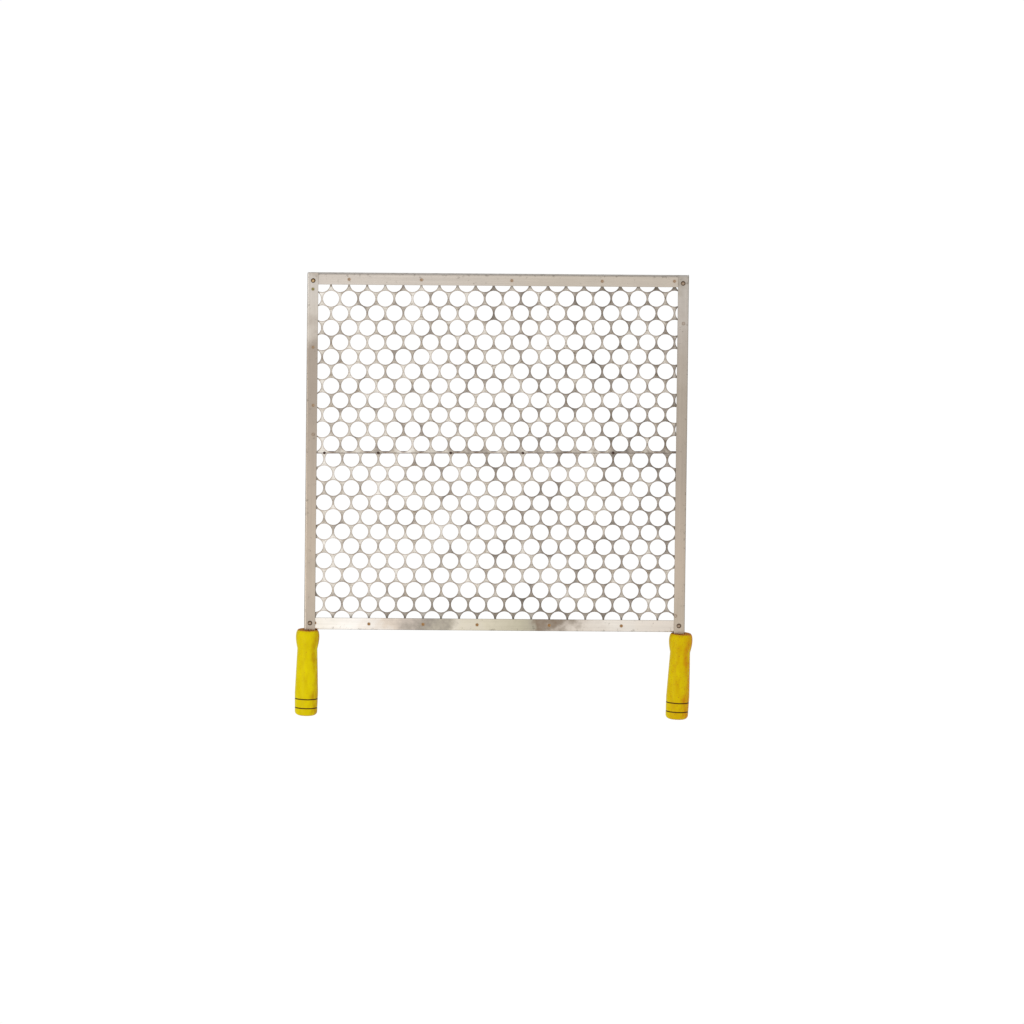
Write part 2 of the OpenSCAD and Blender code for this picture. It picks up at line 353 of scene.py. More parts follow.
@dataclass(frozen=True)
class GratePlan:
    """The frame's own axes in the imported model, read from the CAD nodes' boxes."""

    centre: Vector
    metal: float = 1.2
    frame_d: float = 472.6
    frame_w: float = 498.8
    flange: float = 14.4
    back_flange: float = 14.2
    front_flange: float = 15.9
    slack: float = 0.6  # what the cross rails leave free between the side rails
    lean: float = 0.19

    @classmethod
    def read(cls) -> "GratePlan":
        """Finds the middle of the frame, at the top of the side flanges."""
        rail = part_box("left_side_rail")
        back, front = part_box("back_rail"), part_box("front_rail")
        across = sum(corner.x for corner in (*back, *front)) / 4
        return cls(centre=Vector((across, (front[0].y + back[1].y) / 2, rail[1].z)))

    def at(self, x: float, y: float, z: float = 0.0) -> Vector:
        """Turns a place in the frame, in millimetres, into one in the model, in metres."""
        return self.centre + Vector((x, y, z)) * MM

    def shift(self) -> Matrix:
        """Gives the move from the frame's own axes to the model's."""
        return Matrix.Translation(self.centre)

    def lean_at(self, y: float) -> float:
        """Gives how far the frame's sides lie to the right of square at a depth y."""
        return y * math.tan(math.radians(self.lean))

    def lean_side(self, side: Side) -> Matrix:
        """Gives the turn of a side rail and its grip about the middle of the rail's wall."""
        pivot = Matrix.Translation((side.value * self.frame_w / 2 * MM, 0, 0))
        return pivot @ Matrix.Rotation(math.radians(-self.lean), 4, "Z") @ pivot.inverted()

    def head(self, node: str) -> Vector:
        """Gives the middle of a node's top, in the model."""
        low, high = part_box(node)
        return Vector(((low.x + high.x) / 2, (low.y + high.y) / 2, high.z))


# ---------------------------------------------------------------- finishes


@dataclass(frozen=True)
class RolledStainless:
    """Cold-rolled stainless strip, folded, welded and used over a fire.

    The eye gets a satin sheen with a fine rolling grain along the strip, slow changes of
    tone, soot specks that gather along the fold, painted shade in the fold and down the
    wall, a painted shadow line along the open edge and a straw-brown bloom round each weld.
    """

    name: str
    run: Run
    half_length: float
    tones: Stops
    wall_edge: float
    open_edge: float
    grain_gap: float = 0.8  # rolling grain, drawn coarser than the real 0.1 mm
    grain_run: float = 90.0
    streak_gap: float = 3.5
    streak_run: float = 160.0
    blotch: float = 34.0
    stain: float = 5.5
    fold_fade: float = 0.38  # share of the flange over which the soot by the fold thins out
    shade_lines: tuple[Pair, Pair] = ((1.5, 0.3), (-0.8, 0.45))  # width and strength of the painted shade in the fold and of the painted shadow at the open edge
    bloom_reach: Pair = (1.6, 3.4)
    bloom: str = "#8a6f55"
    # this dark colour serves the soot specks and also the painted shade and shadow lines
    soot_and_shade: str = "#5f574c"
    roughness: Pair = (0.27, 0.43)

    def stretch(self, along: float, across: float) -> tuple[float, float, float]:
        """Gives a Mapping scale for a pattern of that length and width, in millimetres."""
        size = [1 / (across * MM)] * 3
        size[self.run.value] = 1 / (along * MM)
        return (size[0], size[1], size[2])

    def make(self, plan: GratePlan, welds: Iterable[Vector]) -> bpy.types.Material:
        """Builds the material.

        Args:
            plan: Where the frame is.
            welds: Centres of the spot welds in the strip, in the model.

        Returns:
            The material.
        """
        made, tree = new_material(self.name)
        other = 1 - self.run.value
        lean = math.radians(-plan.lean) if self.run is Run.DEEP else 0.0
        place = add_node(tree, "TexCoord").outputs["Object"]
        inside = add_node(
            tree,
            "Mapping",
            {0: place, 1: tuple(plan.centre), 2: (0, 0, lean)},
            vector_type="TEXTURE",
        )
        axes = add_node(tree, "SeparateXYZ", {0: inside}).outputs
        blotch = add_node(
            tree,
            "TexNoise",
            {"Vector": place, "Scale": 1 / (self.blotch * MM), "Detail": 5, "Roughness": 0.6},
        )
        run = add_node(
            tree,
            "MapRange",
            {0: axes[self.run.value], 1: -self.half_length * MM, 2: self.half_length * MM},
        )
        wander = add_node(tree, "MapRange", {0: blotch, 1: 0.3, 2: 0.7, 3: -0.05, 4: 0.05})
        spot = add_node(tree, "Math", {0: run, 1: wander}, operation="ADD")
        colour = add_node(tree, "ValToRGB", {0: spot}, stops=self.tones)
        grain_at = add_node(
            tree, "Mapping", {0: place, 3: self.stretch(self.grain_run, self.grain_gap)}
        )
        grain = add_node(tree, "TexNoise", {"Vector": grain_at, "Scale": 1, "Detail": 2})
        streak_at = add_node(
            tree, "Mapping", {0: place, 3: self.stretch(self.streak_run, self.streak_gap)}
        )
        streak = add_node(tree, "TexNoise", {"Vector": streak_at, "Scale": 1, "Detail": 3})
        for source, high in ((streak, 1.04), (grain, 1.05), (blotch, 1.04)):
            shade = add_node(tree, "MapRange", {0: source, 1: 0.25, 2: 0.75, 3: 0.95, 4: high})
            colour = add_node(
                tree, "Mix", {0: 1.0, 6: colour, 7: shade}, data_type="RGBA", blend_type="MULTIPLY"
            )
        # soot spots, thickest along the fold
        specks = add_node(
            tree,
            "TexNoise",
            {"Vector": place, "Scale": 1 / (self.stain * MM), "Detail": 3, "Roughness": 0.65},
        )
        near_fold = add_node(
            tree,
            "MapRange",
            {
                0: axes[other],
                1: self.wall_edge * MM,
                2: (self.wall_edge + self.fold_fade * (self.open_edge - self.wall_edge)) * MM,
                3: 0.1,
                4: 0.0,
            },
        )
        sooty = add_node(tree, "Math", {0: specks, 1: near_fold}, operation="ADD")
        soot_and_shade = add_node(
            tree,
            "MapRange",
            {0: sooty, 1: 0.62, 2: 0.78, 3: 0.0, 4: 0.45},
            interpolation_type="SMOOTHSTEP",
        )
        stains_and_shade = [(soot_and_shade, self.soot_and_shade)]
        # painted shade: a dark line in the fold that also darkens the wall, and a painted shadow
        # line along the open edge
        inward = math.copysign(1, self.open_edge - self.wall_edge)
        for edge, (reach, depth) in zip((self.wall_edge, self.open_edge), self.shade_lines):
            line = add_node(
                tree,
                "MapRange",
                {0: axes[other], 1: edge * MM, 2: (edge + inward * reach) * MM, 3: depth, 4: 0.0},
            )
            stains_and_shade.append((line, self.soot_and_shade))
        # straw-brown bloom round each weld
        gaps = [
            add_node(tree, "VectorMath", {0: place, 1: tuple(weld)}, operation="DISTANCE")
            for weld in welds
        ]
        nearest = gaps[0]
        for gap in gaps[1:]:
            nearest = add_node(tree, "Math", {0: nearest, 1: gap}, operation="MINIMUM")
        near, far = self.bloom_reach
        bloom = add_node(
            tree,
            "MapRange",
            {0: nearest, 1: near * MM, 2: far * MM, 3: 0.35, 4: 0.0},
            interpolation_type="SMOOTHSTEP",
        )
        for share, tone in (*stains_and_shade, (bloom, self.bloom)):
            colour = add_node(
                tree, "Mix", {0: share, 6: colour, 7: linear(tone)}, data_type="RGBA"
            )
        rough = add_node(
            tree,
            "MapRange",
            {0: blotch, 1: 0.3, 2: 0.7, 3: self.roughness[0], 4: self.roughness[1]},
        )
        rough = add_node(tree, "Math", {0: soot_and_shade, 1: 0.35, 2: rough}, operation="MULTIPLY_ADD")
        relief = add_node(tree, "Bump", {"Strength": 0.3, "Distance": 0.05 * MM, "Height": grain})
        relief = add_node(
            tree,
            "Bump",
            {"Strength": 0.12, "Distance": 0.4 * MM, "Height": blotch, "Normal": relief},
        )
        shader = add_node(
            tree,
            "BsdfPrincipled",
            {"Base Color": colour, "Metallic": 1.0, "Roughness": rough, "Normal": relief},
        )
        add_node(tree, "OutputMaterial", {0: shader})
        return made


@dataclass(frozen=True)
class PunchedStainless:
    """Stainless strip left over from punching coin blanks, browned by a fire.

    The eye gets webs that go from light to mid-grey in slow clouds, straw heat colours,
    browned hole edges, a darker tone towards the back right corner and about the middle of
    the front rail, painted shadow beside the flanges, and dirt along the seam.
    """

    name: str
    tones: Stops = (
        (0.12, "#ece8e2"),
        (0.34, "#d8d2c9"),
        (0.5, "#bfb7ac"),
        (0.64, "#a0978e"),
        (0.85, "#7a736b"),
    )
    straw: str = "#a08c6e"
    # this dark colour also paints the shadow beside the flanges
    soot_and_shade: str = "#5d554b"
    rust: str = "#4a3526"
    punched_edge: str = "#bfac9c"
    cloud: float = 24.0
    cloud_contrast: float = 1.6
    spot: float = 7.0
    grain_gap: float = 0.9  # rolling grain, drawn coarser than the real 0.1 mm
    grain_run: float = 60.0
    seam_line: float = 0.25
    seam_fade: float = 0.4
    side_fade: Pair = (2.2, 0.3)
    end_fade: float = 4.5
    front_rows: Pair = (-183.0, -200.0)
    front_left: Pair = (-200.0, -120.0)
    front_right: Pair = (50.0, 200.0)
    roughness: Pair = (0.3, 0.5)

    def make(self, plan: GratePlan, seam: Matrix) -> bpy.types.Material:
        """Builds the material.

        Args:
            plan: Where the frame is.
            seam: The seam's own axes, X along it.

        Returns:
            The material.
        """
        made, tree = new_material(self.name)
        place = add_node(tree, "TexCoord").outputs["Object"]
        inside = add_node(
            tree,
            "Mapping",
            {0: place, 1: tuple(plan.centre), 2: (0, 0, math.radians(-plan.lean))},
            vector_type="TEXTURE",
        )
        axes = add_node(tree, "SeparateXYZ", {0: inside}).outputs
        cloud = add_node(
            tree,
            "TexNoise",
            {"Vector": place, "Scale": 1 / (self.cloud * MM), "Detail": 5, "Roughness": 0.62},
        )
        slope = add_node(
            tree, "VectorMath", {0: inside, 1: (0.45, 0.05, 0.0)}, operation="DOT_PRODUCT"
        )
        depth = add_node(
            tree, "Math", {0: cloud, 1: self.cloud_contrast, 2: slope}, operation="MULTIPLY_ADD"
        )
        depth = add_node(tree, "Math", {0: depth, 1: 0.3}, operation="SUBTRACT")
        colour = add_node(tree, "ValToRGB", {0: depth}, stops=self.tones)
        spots = add_node(
            tree,
            "TexNoise",
            {"Vector": place, "Scale": 1 / (self.spot * MM), "Detail": 4, "Roughness": 0.7},
        )
        straw = add_node(
            tree,
            "MapRange",
            {0: spots, 1: 0.5, 2: 0.66, 3: 0.0, 4: 0.35},
            interpolation_type="SMOOTHSTEP",
        )
        # darker towards the back right corner, broken up by the spots
        corner = add_node(
            tree, "VectorMath", {0: inside, 1: (0.45, 0.6, 0.0)}, operation="DOT_PRODUCT"
        )
        dark_corner_at = add_node(tree, "Math", {0: corner, 1: 0.55, 2: spots}, operation="MULTIPLY_ADD")
        soot_and_shade = add_node(
            tree,
            "MapRange",
            {0: dark_corner_at, 1: 0.58, 2: 0.78, 3: 0.0, 4: 0.6},
            interpolation_type="SMOOTHSTEP",
        )
        for share, tone in ((straw, self.straw), (soot_and_shade, self.soot_and_shade)):
            colour = add_node(
                tree, "Mix", {0: share, 6: colour, 7: linear(tone)}, data_type="RGBA"
            )
        fine = 1 / (self.grain_gap * MM)
        grain_at = add_node(
            tree, "Mapping", {0: place, 3: (1 / (self.grain_run * MM), fine, fine)}
        )
        grain = add_node(tree, "TexNoise", {"Vector": grain_at, "Scale": 1, "Detail": 2})
        shade = add_node(tree, "MapRange", {0: grain, 1: 0.25, 2: 0.75, 3: 0.9, 4: 1.1})
        colour = add_node(
            tree, "Mix", {0: 1.0, 6: colour, 7: shade}, data_type="RGBA", blend_type="MULTIPLY"
        )
        # the punch leaves each hole's edge rolled over, and heat browns it first
        rim = add_node(tree, "Attribute", attribute_name="rim").outputs["Vector"]
        rim = add_node(tree, "SeparateXYZ", {0: rim})
        rim = add_node(tree, "MapRange", {0: rim, 1: 0.3, 2: 0.85, 3: 0.0, 4: 0.75})
        colour = add_node(
            tree,
            "Mix",
            {0: rim, 6: colour, 7: linear(self.punched_edge)},
            data_type="RGBA",
            blend_type="MULTIPLY",
        )
        # dirt in the seam
        turn = seam.to_euler().z
        along = add_node(
            tree,
            "Mapping",
            {0: place, 1: tuple(seam.translation), 2: (0, 0, turn)},
            vector_type="TEXTURE",
        )
        off = add_node(tree, "SeparateXYZ", {0: along}).outputs[1]
        off = add_node(tree, "Math", {0: off}, operation="ABSOLUTE")
        dirt = add_node(
            tree,
            "MapRange",
            {
                0: off,
                1: self.seam_line * MM,
                2: (self.seam_line + self.seam_fade) * MM,
                3: 0.75,
                4: 0.0,
            },
        )
        # painted shadow on the sheet beside the flanges' open edges, where it lies under them
        wide = add_node(tree, "Math", {0: axes[0]}, operation="ABSOLUTE")
        edge = plan.frame_w / 2 - plan.flange
        far, near = self.side_fade
        flange_shadow = add_node(
            tree,
            "MapRange",
            {0: wide, 1: (edge - far) * MM, 2: (edge - near) * MM, 3: 0.0, 4: 0.75},
        )
        half_d = plan.frame_d / 2
        for flange_edge in (half_d - plan.back_flange, plan.front_flange - half_d):
            start = flange_edge - math.copysign(self.end_fade, flange_edge)
            end_shadow = add_node(
                tree, "MapRange", {0: axes[1], 1: start * MM, 2: flange_edge * MM, 3: 0.0, 4: 0.7}
            )
            flange_shadow = add_node(tree, "Math", {0: flange_shadow, 1: end_shadow}, operation="MAXIMUM")
        # the rows beside the front rail are darker about the middle
        begin, end = (y * MM for y in self.front_rows)
        front = add_node(tree, "MapRange", {0: axes[1], 1: begin, 2: end, 3: 0.0, 4: 0.5})
        for span, shares in ((self.front_left, (0.0, 1.0)), (self.front_right, (1.0, 0.2))):
            begin, end = (x * MM for x in span)
            limit = add_node(
                tree, "MapRange", {0: axes[0], 1: begin, 2: end, 3: shares[0], 4: shares[1]}
            )
            front = add_node(tree, "Math", {0: front, 1: limit}, operation="MULTIPLY")
        for share, tone in ((dirt, self.rust), (flange_shadow, self.soot_and_shade), (front, self.soot_and_shade)):
            colour = add_node(
                tree, "Mix", {0: share, 6: colour, 7: linear(tone)}, data_type="RGBA"
            )
        rough = add_node(
            tree,
            "MapRange",
            {0: spots, 1: 0.3, 2: 0.7, 3: self.roughness[0], 4: self.roughness[1]},
        )
        relief = add_node(tree, "Bump", {"Strength": 0.3, "Distance": 0.05 * MM, "Height": grain})
        relief = add_node(
            tree,
            "Bump",
            {"Strength": 0.35, "Distance": 0.3 * MM, "Height": spots, "Normal": relief},
        )
        shader = add_node(
            tree,
            "BsdfPrincipled",
            {"Base Color": colour, "Metallic": 1.0, "Roughness": rough, "Normal": relief},
        )
        add_node(tree, "OutputMaterial", {0: shader})
        return made


@dataclass(frozen=True)
class HeatTint:
    """Steel that has been hot at one point: a spot weld, a set rivet or a tack.

    The eye gets rings of oxide colour, from the centre to the rim, broken up by grit; on a
    rivet the light centre is a painted highlight and the dark rim is rust. The mesh's own
    attribute "ring" holds the distance from the centre as a share of the rim.
    """

    name: str
    rings: Stops
    grit: float = 1.1
    roughness: float = 0.45
    metallic: float = 1.0
    crust: float = 0.1

    def make(self) -> bpy.types.Material:
        """Builds the material.

        Returns:
            The material.
        """
        made, tree = new_material(self.name)
        ring = add_node(tree, "Attribute", attribute_name="ring").outputs["Vector"]
        place = add_node(tree, "TexCoord").outputs["Object"]
        grit = add_node(
            tree,
            "TexNoise",
            {"Vector": place, "Scale": 1 / (self.grit * MM), "Detail": 4, "Roughness": 0.6},
        )
        share = add_node(tree, "SeparateXYZ", {0: ring})
        ragged = add_node(tree, "MapRange", {0: grit, 1: 0.3, 2: 0.7, 3: -0.12, 4: 0.12})
        share = add_node(tree, "Math", {0: share, 1: ragged}, operation="ADD")
        colour = add_node(tree, "ValToRGB", {0: share}, stops=self.rings)
        shade = add_node(tree, "MapRange", {0: grit, 1: 0.3, 2: 0.7, 3: 0.82, 4: 1.15})
        colour = add_node(
            tree, "Mix", {0: 1.0, 6: colour, 7: shade}, data_type="RGBA", blend_type="MULTIPLY"
        )
        relief = add_node(
            tree, "Bump", {"Strength": 0.5, "Distance": self.crust * MM, "Height": grit}
        )
        rough = add_node(
            tree,
            "MapRange",
            {0: grit, 1: 0.3, 2: 0.7, 3: self.roughness - 0.1, 4: self.roughness + 0.15},
        )
        shader = add_node(
            tree,
            "BsdfPrincipled",
            {
                "Base Color": colour,
                "Metallic": self.metallic,
                "Roughness": rough,
                "Normal": relief,
            },
        )
        add_node(tree, "OutputMaterial", {0: shader})
        return made


@dataclass(frozen=True)
class MillBar:
    """Hot-rolled mild steel flat bar, bare under the seam.

    The eye gets a dark mill scale with brown rust clouds and long drawn lines.
    """

    name: str = "hot-rolled steel flat bar"
    scale_tone: str = "#564d45"
    rust: str = "#6b4630"
    bright: str = "#8a8178"
    cloud: float = 11.0
    line_run: float = 70.0
    line_gap: float = 0.9

    def make(self) -> bpy.types.Material:
        """Builds the material.

        Returns:
            The material.
        """
        made, tree = new_material(self.name)
        place = add_node(tree, "TexCoord").outputs["Object"]
        clouds = add_node(
            tree,
            "TexNoise",
            {"Vector": place, "Scale": 1 / (self.cloud * MM), "Detail": 5, "Roughness": 0.65},
        )
        fine = 1 / (self.line_gap * MM)
        drawn_at = add_node(tree, "Mapping", {0: place, 3: (1 / (self.line_run * MM), fine, fine)})
        drawn = add_node(tree, "TexNoise", {"Vector": drawn_at, "Scale": 1, "Detail": 2})
        colour = add_node(
            tree,
            "ValToRGB",
            {0: clouds},
            stops=((0.35, self.scale_tone), (0.55, self.rust), (0.7, self.bright)),
        )
        shade = add_node(tree, "MapRange", {0: drawn, 1: 0.3, 2: 0.7, 3: 0.85, 4: 1.12})
        colour = add_node(
            tree, "Mix", {0: 1.0, 6: colour, 7: shade}, data_type="RGBA", blend_type="MULTIPLY"
        )
        rough = add_node(tree, "MapRange", {0: clouds, 1: 0.35, 2: 0.65, 3: 0.42, 4: 0.72})
        relief = add_node(tree, "Bump", {"Strength": 0.4, "Distance": 0.12 * MM, "Height": clouds})
        shader = add_node(
            tree,
            "BsdfPrincipled",
            {"Base Color": colour, "Metallic": 0.75, "Roughness": rough, "Normal": relief},
        )
        add_node(tree, "OutputMaterial", {0: shader})
        return made


@dataclass(frozen=True)
class YellowEnamel:
    """Brushed yellow enamel on a turned softwood grip.

    The eye gets a soft gloss over fine turning rings, painted shade that darkens one flank,
    the right, to ochre, orange specks where wood shows, two dark painted bands, and bare
    worn wood at the mouth and the tip. The mesh's own attribute "turning" holds each
    point's place in the grip: X across, Y up and Z from the mouth.
    """

    name: str
    bands: tuple[float, ...]
    length: float
    radius: float
    thick: str = "#d2c000"
    thin: str = "#c5af00"
    shaded_flank: str = "#ad8200"
    speck: str = "#b3701c"
    wood: str = "#a8642a"
    band: str = "#4a2c10"
    shaded_flank_from: float = 0.35
    speckle: float = 0.63
    brushed: float = 9.0
    grit: float = 1.7
    ring_gap: float = 1.6  # turning rings, drawn coarser than the real 0.4 mm
    roughness: float = 0.34
    wood_roughness: float = 0.4

    def make(self) -> bpy.types.Material:
        """Builds the material.

        Returns:
            The material.
        """
        made, tree = new_material(self.name)
        place = add_node(tree, "Attribute", attribute_name="turning").outputs["Vector"]
        axes = add_node(tree, "SeparateXYZ", {0: place}).outputs
        broad_at = add_node(tree, "Mapping", {0: place, 3: (1.0, 1.0, 0.4)})
        broad = add_node(
            tree,
            "TexNoise",
            {"Vector": broad_at, "Scale": 1 / (self.brushed * MM), "Detail": 4, "Roughness": 0.55},
        )
        grit = add_node(
            tree,
            "TexNoise",
            {"Vector": place, "Scale": 1 / (self.grit * MM), "Detail": 3, "Roughness": 0.6},
        )
        colour = add_node(
            tree, "ValToRGB", {0: broad}, stops=((0.38, self.thick), (0.66, self.thin))
        )
        # painted shade: the right flank, away from the light, turns darker ochre, and the specks
        # thicken there
        lean = add_node(tree, "MapRange", {0: broad, 1: 0.3, 2: 0.7, 3: -0.3, 4: 0.3})
        across = add_node(
            tree,
            "Math",
            {0: axes[0], 1: 1 / (self.radius * MM), 2: lean},
            operation="MULTIPLY_ADD",
        )
        shaded_flank = add_node(
            tree,
            "MapRange",
            {0: across, 1: self.shaded_flank_from, 2: 1.05, 3: 0.0, 4: 0.95},
            interpolation_type="SMOOTHSTEP",
        )
        layers = [(shaded_flank, self.shaded_flank)]
        more = add_node(tree, "Math", {0: shaded_flank, 1: 0.06, 2: grit}, operation="MULTIPLY_ADD")
        speck = add_node(
            tree, "MapRange", {0: more, 1: self.speckle, 2: self.speckle + 0.09, 3: 0.0, 4: 0.8}
        )
        layers.append((speck, self.speck))
        # dark painted bands in the scored lines
        wobble = add_node(
            tree, "MapRange", {0: broad, 1: 0.3, 2: 0.7, 3: -0.22 * MM, 4: 0.22 * MM}
        )
        height = add_node(tree, "Math", {0: axes[2], 1: wobble}, operation="ADD")
        for centre in self.bands:
            off = add_node(tree, "Math", {0: height, 1: centre * MM}, operation="SUBTRACT")
            off = add_node(tree, "Math", {0: off}, operation="ABSOLUTE")
            line = add_node(tree, "MapRange", {0: off, 1: 0.6 * MM, 2: 0.95 * MM, 3: 1.0, 4: 0.0})
            layers.append((line, self.band))
        # bare wood where the mouth and the tip are knocked
        ragged = add_node(tree, "MapRange", {0: grit, 1: 0.3, 2: 0.7, 3: -0.7 * MM, 4: 0.7 * MM})
        worn_at = add_node(tree, "Math", {0: axes[2], 1: ragged}, operation="ADD")
        mouth = add_node(tree, "MapRange", {0: worn_at, 1: 0.1 * MM, 2: 0.7 * MM, 3: 0.95, 4: 0.0})
        tip = add_node(
            tree,
            "MapRange",
            {0: worn_at, 1: (self.length - 1.3) * MM, 2: (self.length - 0.3) * MM, 3: 0.0, 4: 0.9},
        )
        bare = add_node(tree, "Math", {0: mouth, 1: tip}, operation="MAXIMUM")
        for share, tone in (*layers, (bare, self.wood)):
            colour = add_node(
                tree, "Mix", {0: share, 6: colour, 7: linear(tone)}, data_type="RGBA"
            )
        rings = add_node(
            tree,
            "TexWave",
            {"Vector": place, "Scale": 1 / (self.ring_gap * MM) / 3.2, "Distortion": 1.2},
            wave_type="BANDS",
            bands_direction="Z",
        ).outputs[1]
        relief = add_node(tree, "Bump", {"Strength": 0.22, "Distance": 0.08 * MM, "Height": rings})
        relief = add_node(
            tree,
            "Bump",
            {"Strength": 0.4, "Distance": 0.5 * MM, "Height": broad, "Normal": relief},
        )
        rough = add_node(
            tree,
            "Math",
            {0: bare, 1: self.wood_roughness, 2: self.roughness},
            operation="MULTIPLY_ADD",
        )
        shader = add_node(
            tree,
            "BsdfPrincipled",
            {
                "Base Color": colour,
                "Roughness": rough,
                "Normal": relief,
                "IOR": 1.5,
                "Specular IOR Level": 0.05,
            },
        )
        add_node(tree, "OutputMaterial", {0: shader})
        return made


# ---------------------------------------------------------------- sub-assemblies


@dataclass
class AngleRail:
    """A length of folded stainless angle, bored at its welds and rivets.

    The section is drawn with its outer fold at the origin, its flange along +X and its
    wall down -Z, and it is extruded along -Y.
    """

    plan: GratePlan
    node: str
    flange: float
    height: float
    length: float
    finish: RolledStainless
    welds: list[str]
    fold: float = 2.0
    fold_steps: int = 7
    deburr: float = 0.18
    rivet_bore: float = 1.65
    weld_bore: float = 1.7
    cutter: float = 8.0

    def section(self, flange: float, height: float, length: float) -> bmesh.types.BMesh:
        """Extrudes the folded section.

        Args:
            flange: Width of the flange.
            height: Height of the wall.
            length: Length along -Y.

        Returns:
            The closed angle, in metres.
        """
        metal = self.plan.metal
        corners = [
            (0, 0),
            (flange, 0),
            (flange, -metal),
            (metal, -metal),
            (metal, -height),
            (0, -height),
        ]
        bm = bmesh.new()
        ring = [bm.verts.new((x * MM, 0, z * MM)) for x, z in corners]
        bm.faces.new(ring)
        for corner, radius in ((ring[0], self.fold), (ring[3], self.fold - metal)):
            round_corners(bm, [corner], radius, self.fold_steps)
        draw_out(bm, Vector((0, -length, 0)))
        return bm

    def bores(self) -> bmesh.types.BMesh:
        """Makes the cutters for the rail's welds and for the four corner rivets.

        Returns:
            The cutters, in the model.
        """
        low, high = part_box(self.node)
        rivets = [
            self.plan.head(f"{end}_{side}_rivet")
            for end in ("back", "front")
            for side in ("left", "right")
        ]
        holes = [(self.plan.head(name), self.weld_bore) for name in self.welds]
        holes += [
            (p, self.rivet_bore)
            for p in rivets
            if low.x < p.x < high.x and low.y < p.y < high.y
        ]
        bm = bmesh.new()
        for centre, radius in holes:
            bmesh.ops.create_cone(
                bm,
                cap_ends=True,
                segments=24,
                radius1=radius * MM,
                radius2=radius * MM,
                depth=self.cutter * MM,
                matrix=Matrix.Translation((centre.x, centre.y, self.plan.centre.z)),
            )
        return bm

    def dress(self, piece: bpy.types.Object) -> bpy.types.Object:
        """Gives the piece its finish and sets it on the frame.

        Args:
            piece: The rail's object.

        Returns:
            The same object.
        """
        welds = [self.plan.head(name) for name in self.welds]
        bm = bmesh.new()
        bm.from_mesh(piece.data)
        shade(bm, crease=32, flat=0.05)
        bm.to_mesh(piece.data)
        bm.free()
        piece.data.materials.clear()
        piece.data.materials.append(self.finish.make(self.plan, welds))
        settle(piece, self.node)
        return piece


@dataclass
class SideRail(AngleRail):
    """A side rail, whose front end runs on as a tang into a grip."""

    side: Side = Side.LEFT
    splay: float = 0.7
    gap: float = 0.6
    overrun: float = 1.5
    dressed: float = 2.4
    tang_h: float = 8.0
    tang_l: float = 62.0
    tang_inset: float = 0.4

    def build(self) -> bpy.types.Object:
        """Builds the rail and its tang.

        Returns:
            The finished rail.
        """
        plan, sign = self.plan, self.side.value
        flip = Matrix.Diagonal((-sign, 1, 1, 1))
        back = plan.frame_d / 2 + self.overrun
        rail = self.section(self.flange, self.height, self.length)
        corner = Vector((-plan.frame_w / 2, back, 0)) * MM
        bmesh.ops.translate(rail, verts=rail.verts, vec=corner)
        cut = corner + Vector((self.dressed, 0, 0)) * MM
        sliced = bmesh.ops.bisect_plane(
            rail,
            geom=[*rail.verts, *rail.edges, *rail.faces],
            plane_co=cut,
            plane_no=Vector((-1, 1, 0)).normalized(),
            clear_outer=True,
        )
        bmesh.ops.contextual_create(rail, geom=only(bmesh.types.BMEdge, sliced["geom_cut"]))
        soften_edges(rail, self.deburr)
        tang = self.section(
            self.flange - 2 * self.tang_inset, self.tang_h, 1 + self.gap + self.tang_l
        )
        start = Matrix.Translation(
            Vector((-(plan.frame_w - self.flange) / 2, -plan.frame_d / 2, 0)) * MM
        )
        lean = Matrix.Rotation(math.radians(-self.splay), 4, "Z")
        inset = Matrix.Translation(Vector((self.tang_inset - self.flange / 2, 1, 0)) * MM)
        bmesh.ops.transform(tang, matrix=start @ lean @ inset, verts=tang.verts)
        soften_edges(tang, self.deburr)
        for bm in (rail, tang):
            place = plan.shift() @ plan.lean_side(self.side) @ flip
            bmesh.ops.transform(bm, matrix=place, verts=bm.verts)
            bmesh.ops.recalc_face_normals(bm, faces=bm.faces)
        piece = make_object(rail, self.node + "_angle")
        combine(piece, tang, "UNION")
        combine(piece, self.bores(), "DIFFERENCE")
        return self.dress(piece)


@dataclass
class CrossRail(AngleRail):
    """A back or front rail, whose flange lies under the side rails' flanges."""

    end: End = End.BACK

    def build(self) -> bpy.types.Object:
        """Builds the rail.

        Returns:
            The finished rail.
        """
        plan, sign = self.plan, self.end.value
        rail = self.section(self.flange, self.height - plan.metal, self.length)
        turn = Matrix.Rotation(math.radians(-90), 4, "Z")
        move = Matrix.Translation(
            Vector((self.length / 2, plan.frame_d / 2, -plan.metal)) * MM
        )
        flip = Matrix.Diagonal((1, sign, 1, 1))
        slide = Matrix.Translation((plan.lean_at(sign * plan.frame_d / 2) * MM, 0, 0))
        place = plan.shift() @ slide @ flip @ move @ turn
        bmesh.ops.transform(rail, matrix=place, verts=rail.verts)
        bmesh.ops.recalc_face_normals(rail, faces=rail.faces)
        soften_edges(rail, self.deburr)
        piece = make_object(rail, self.node + "_angle")
        combine(piece, self.bores(), "DIFFERENCE")
        return self.dress(piece)


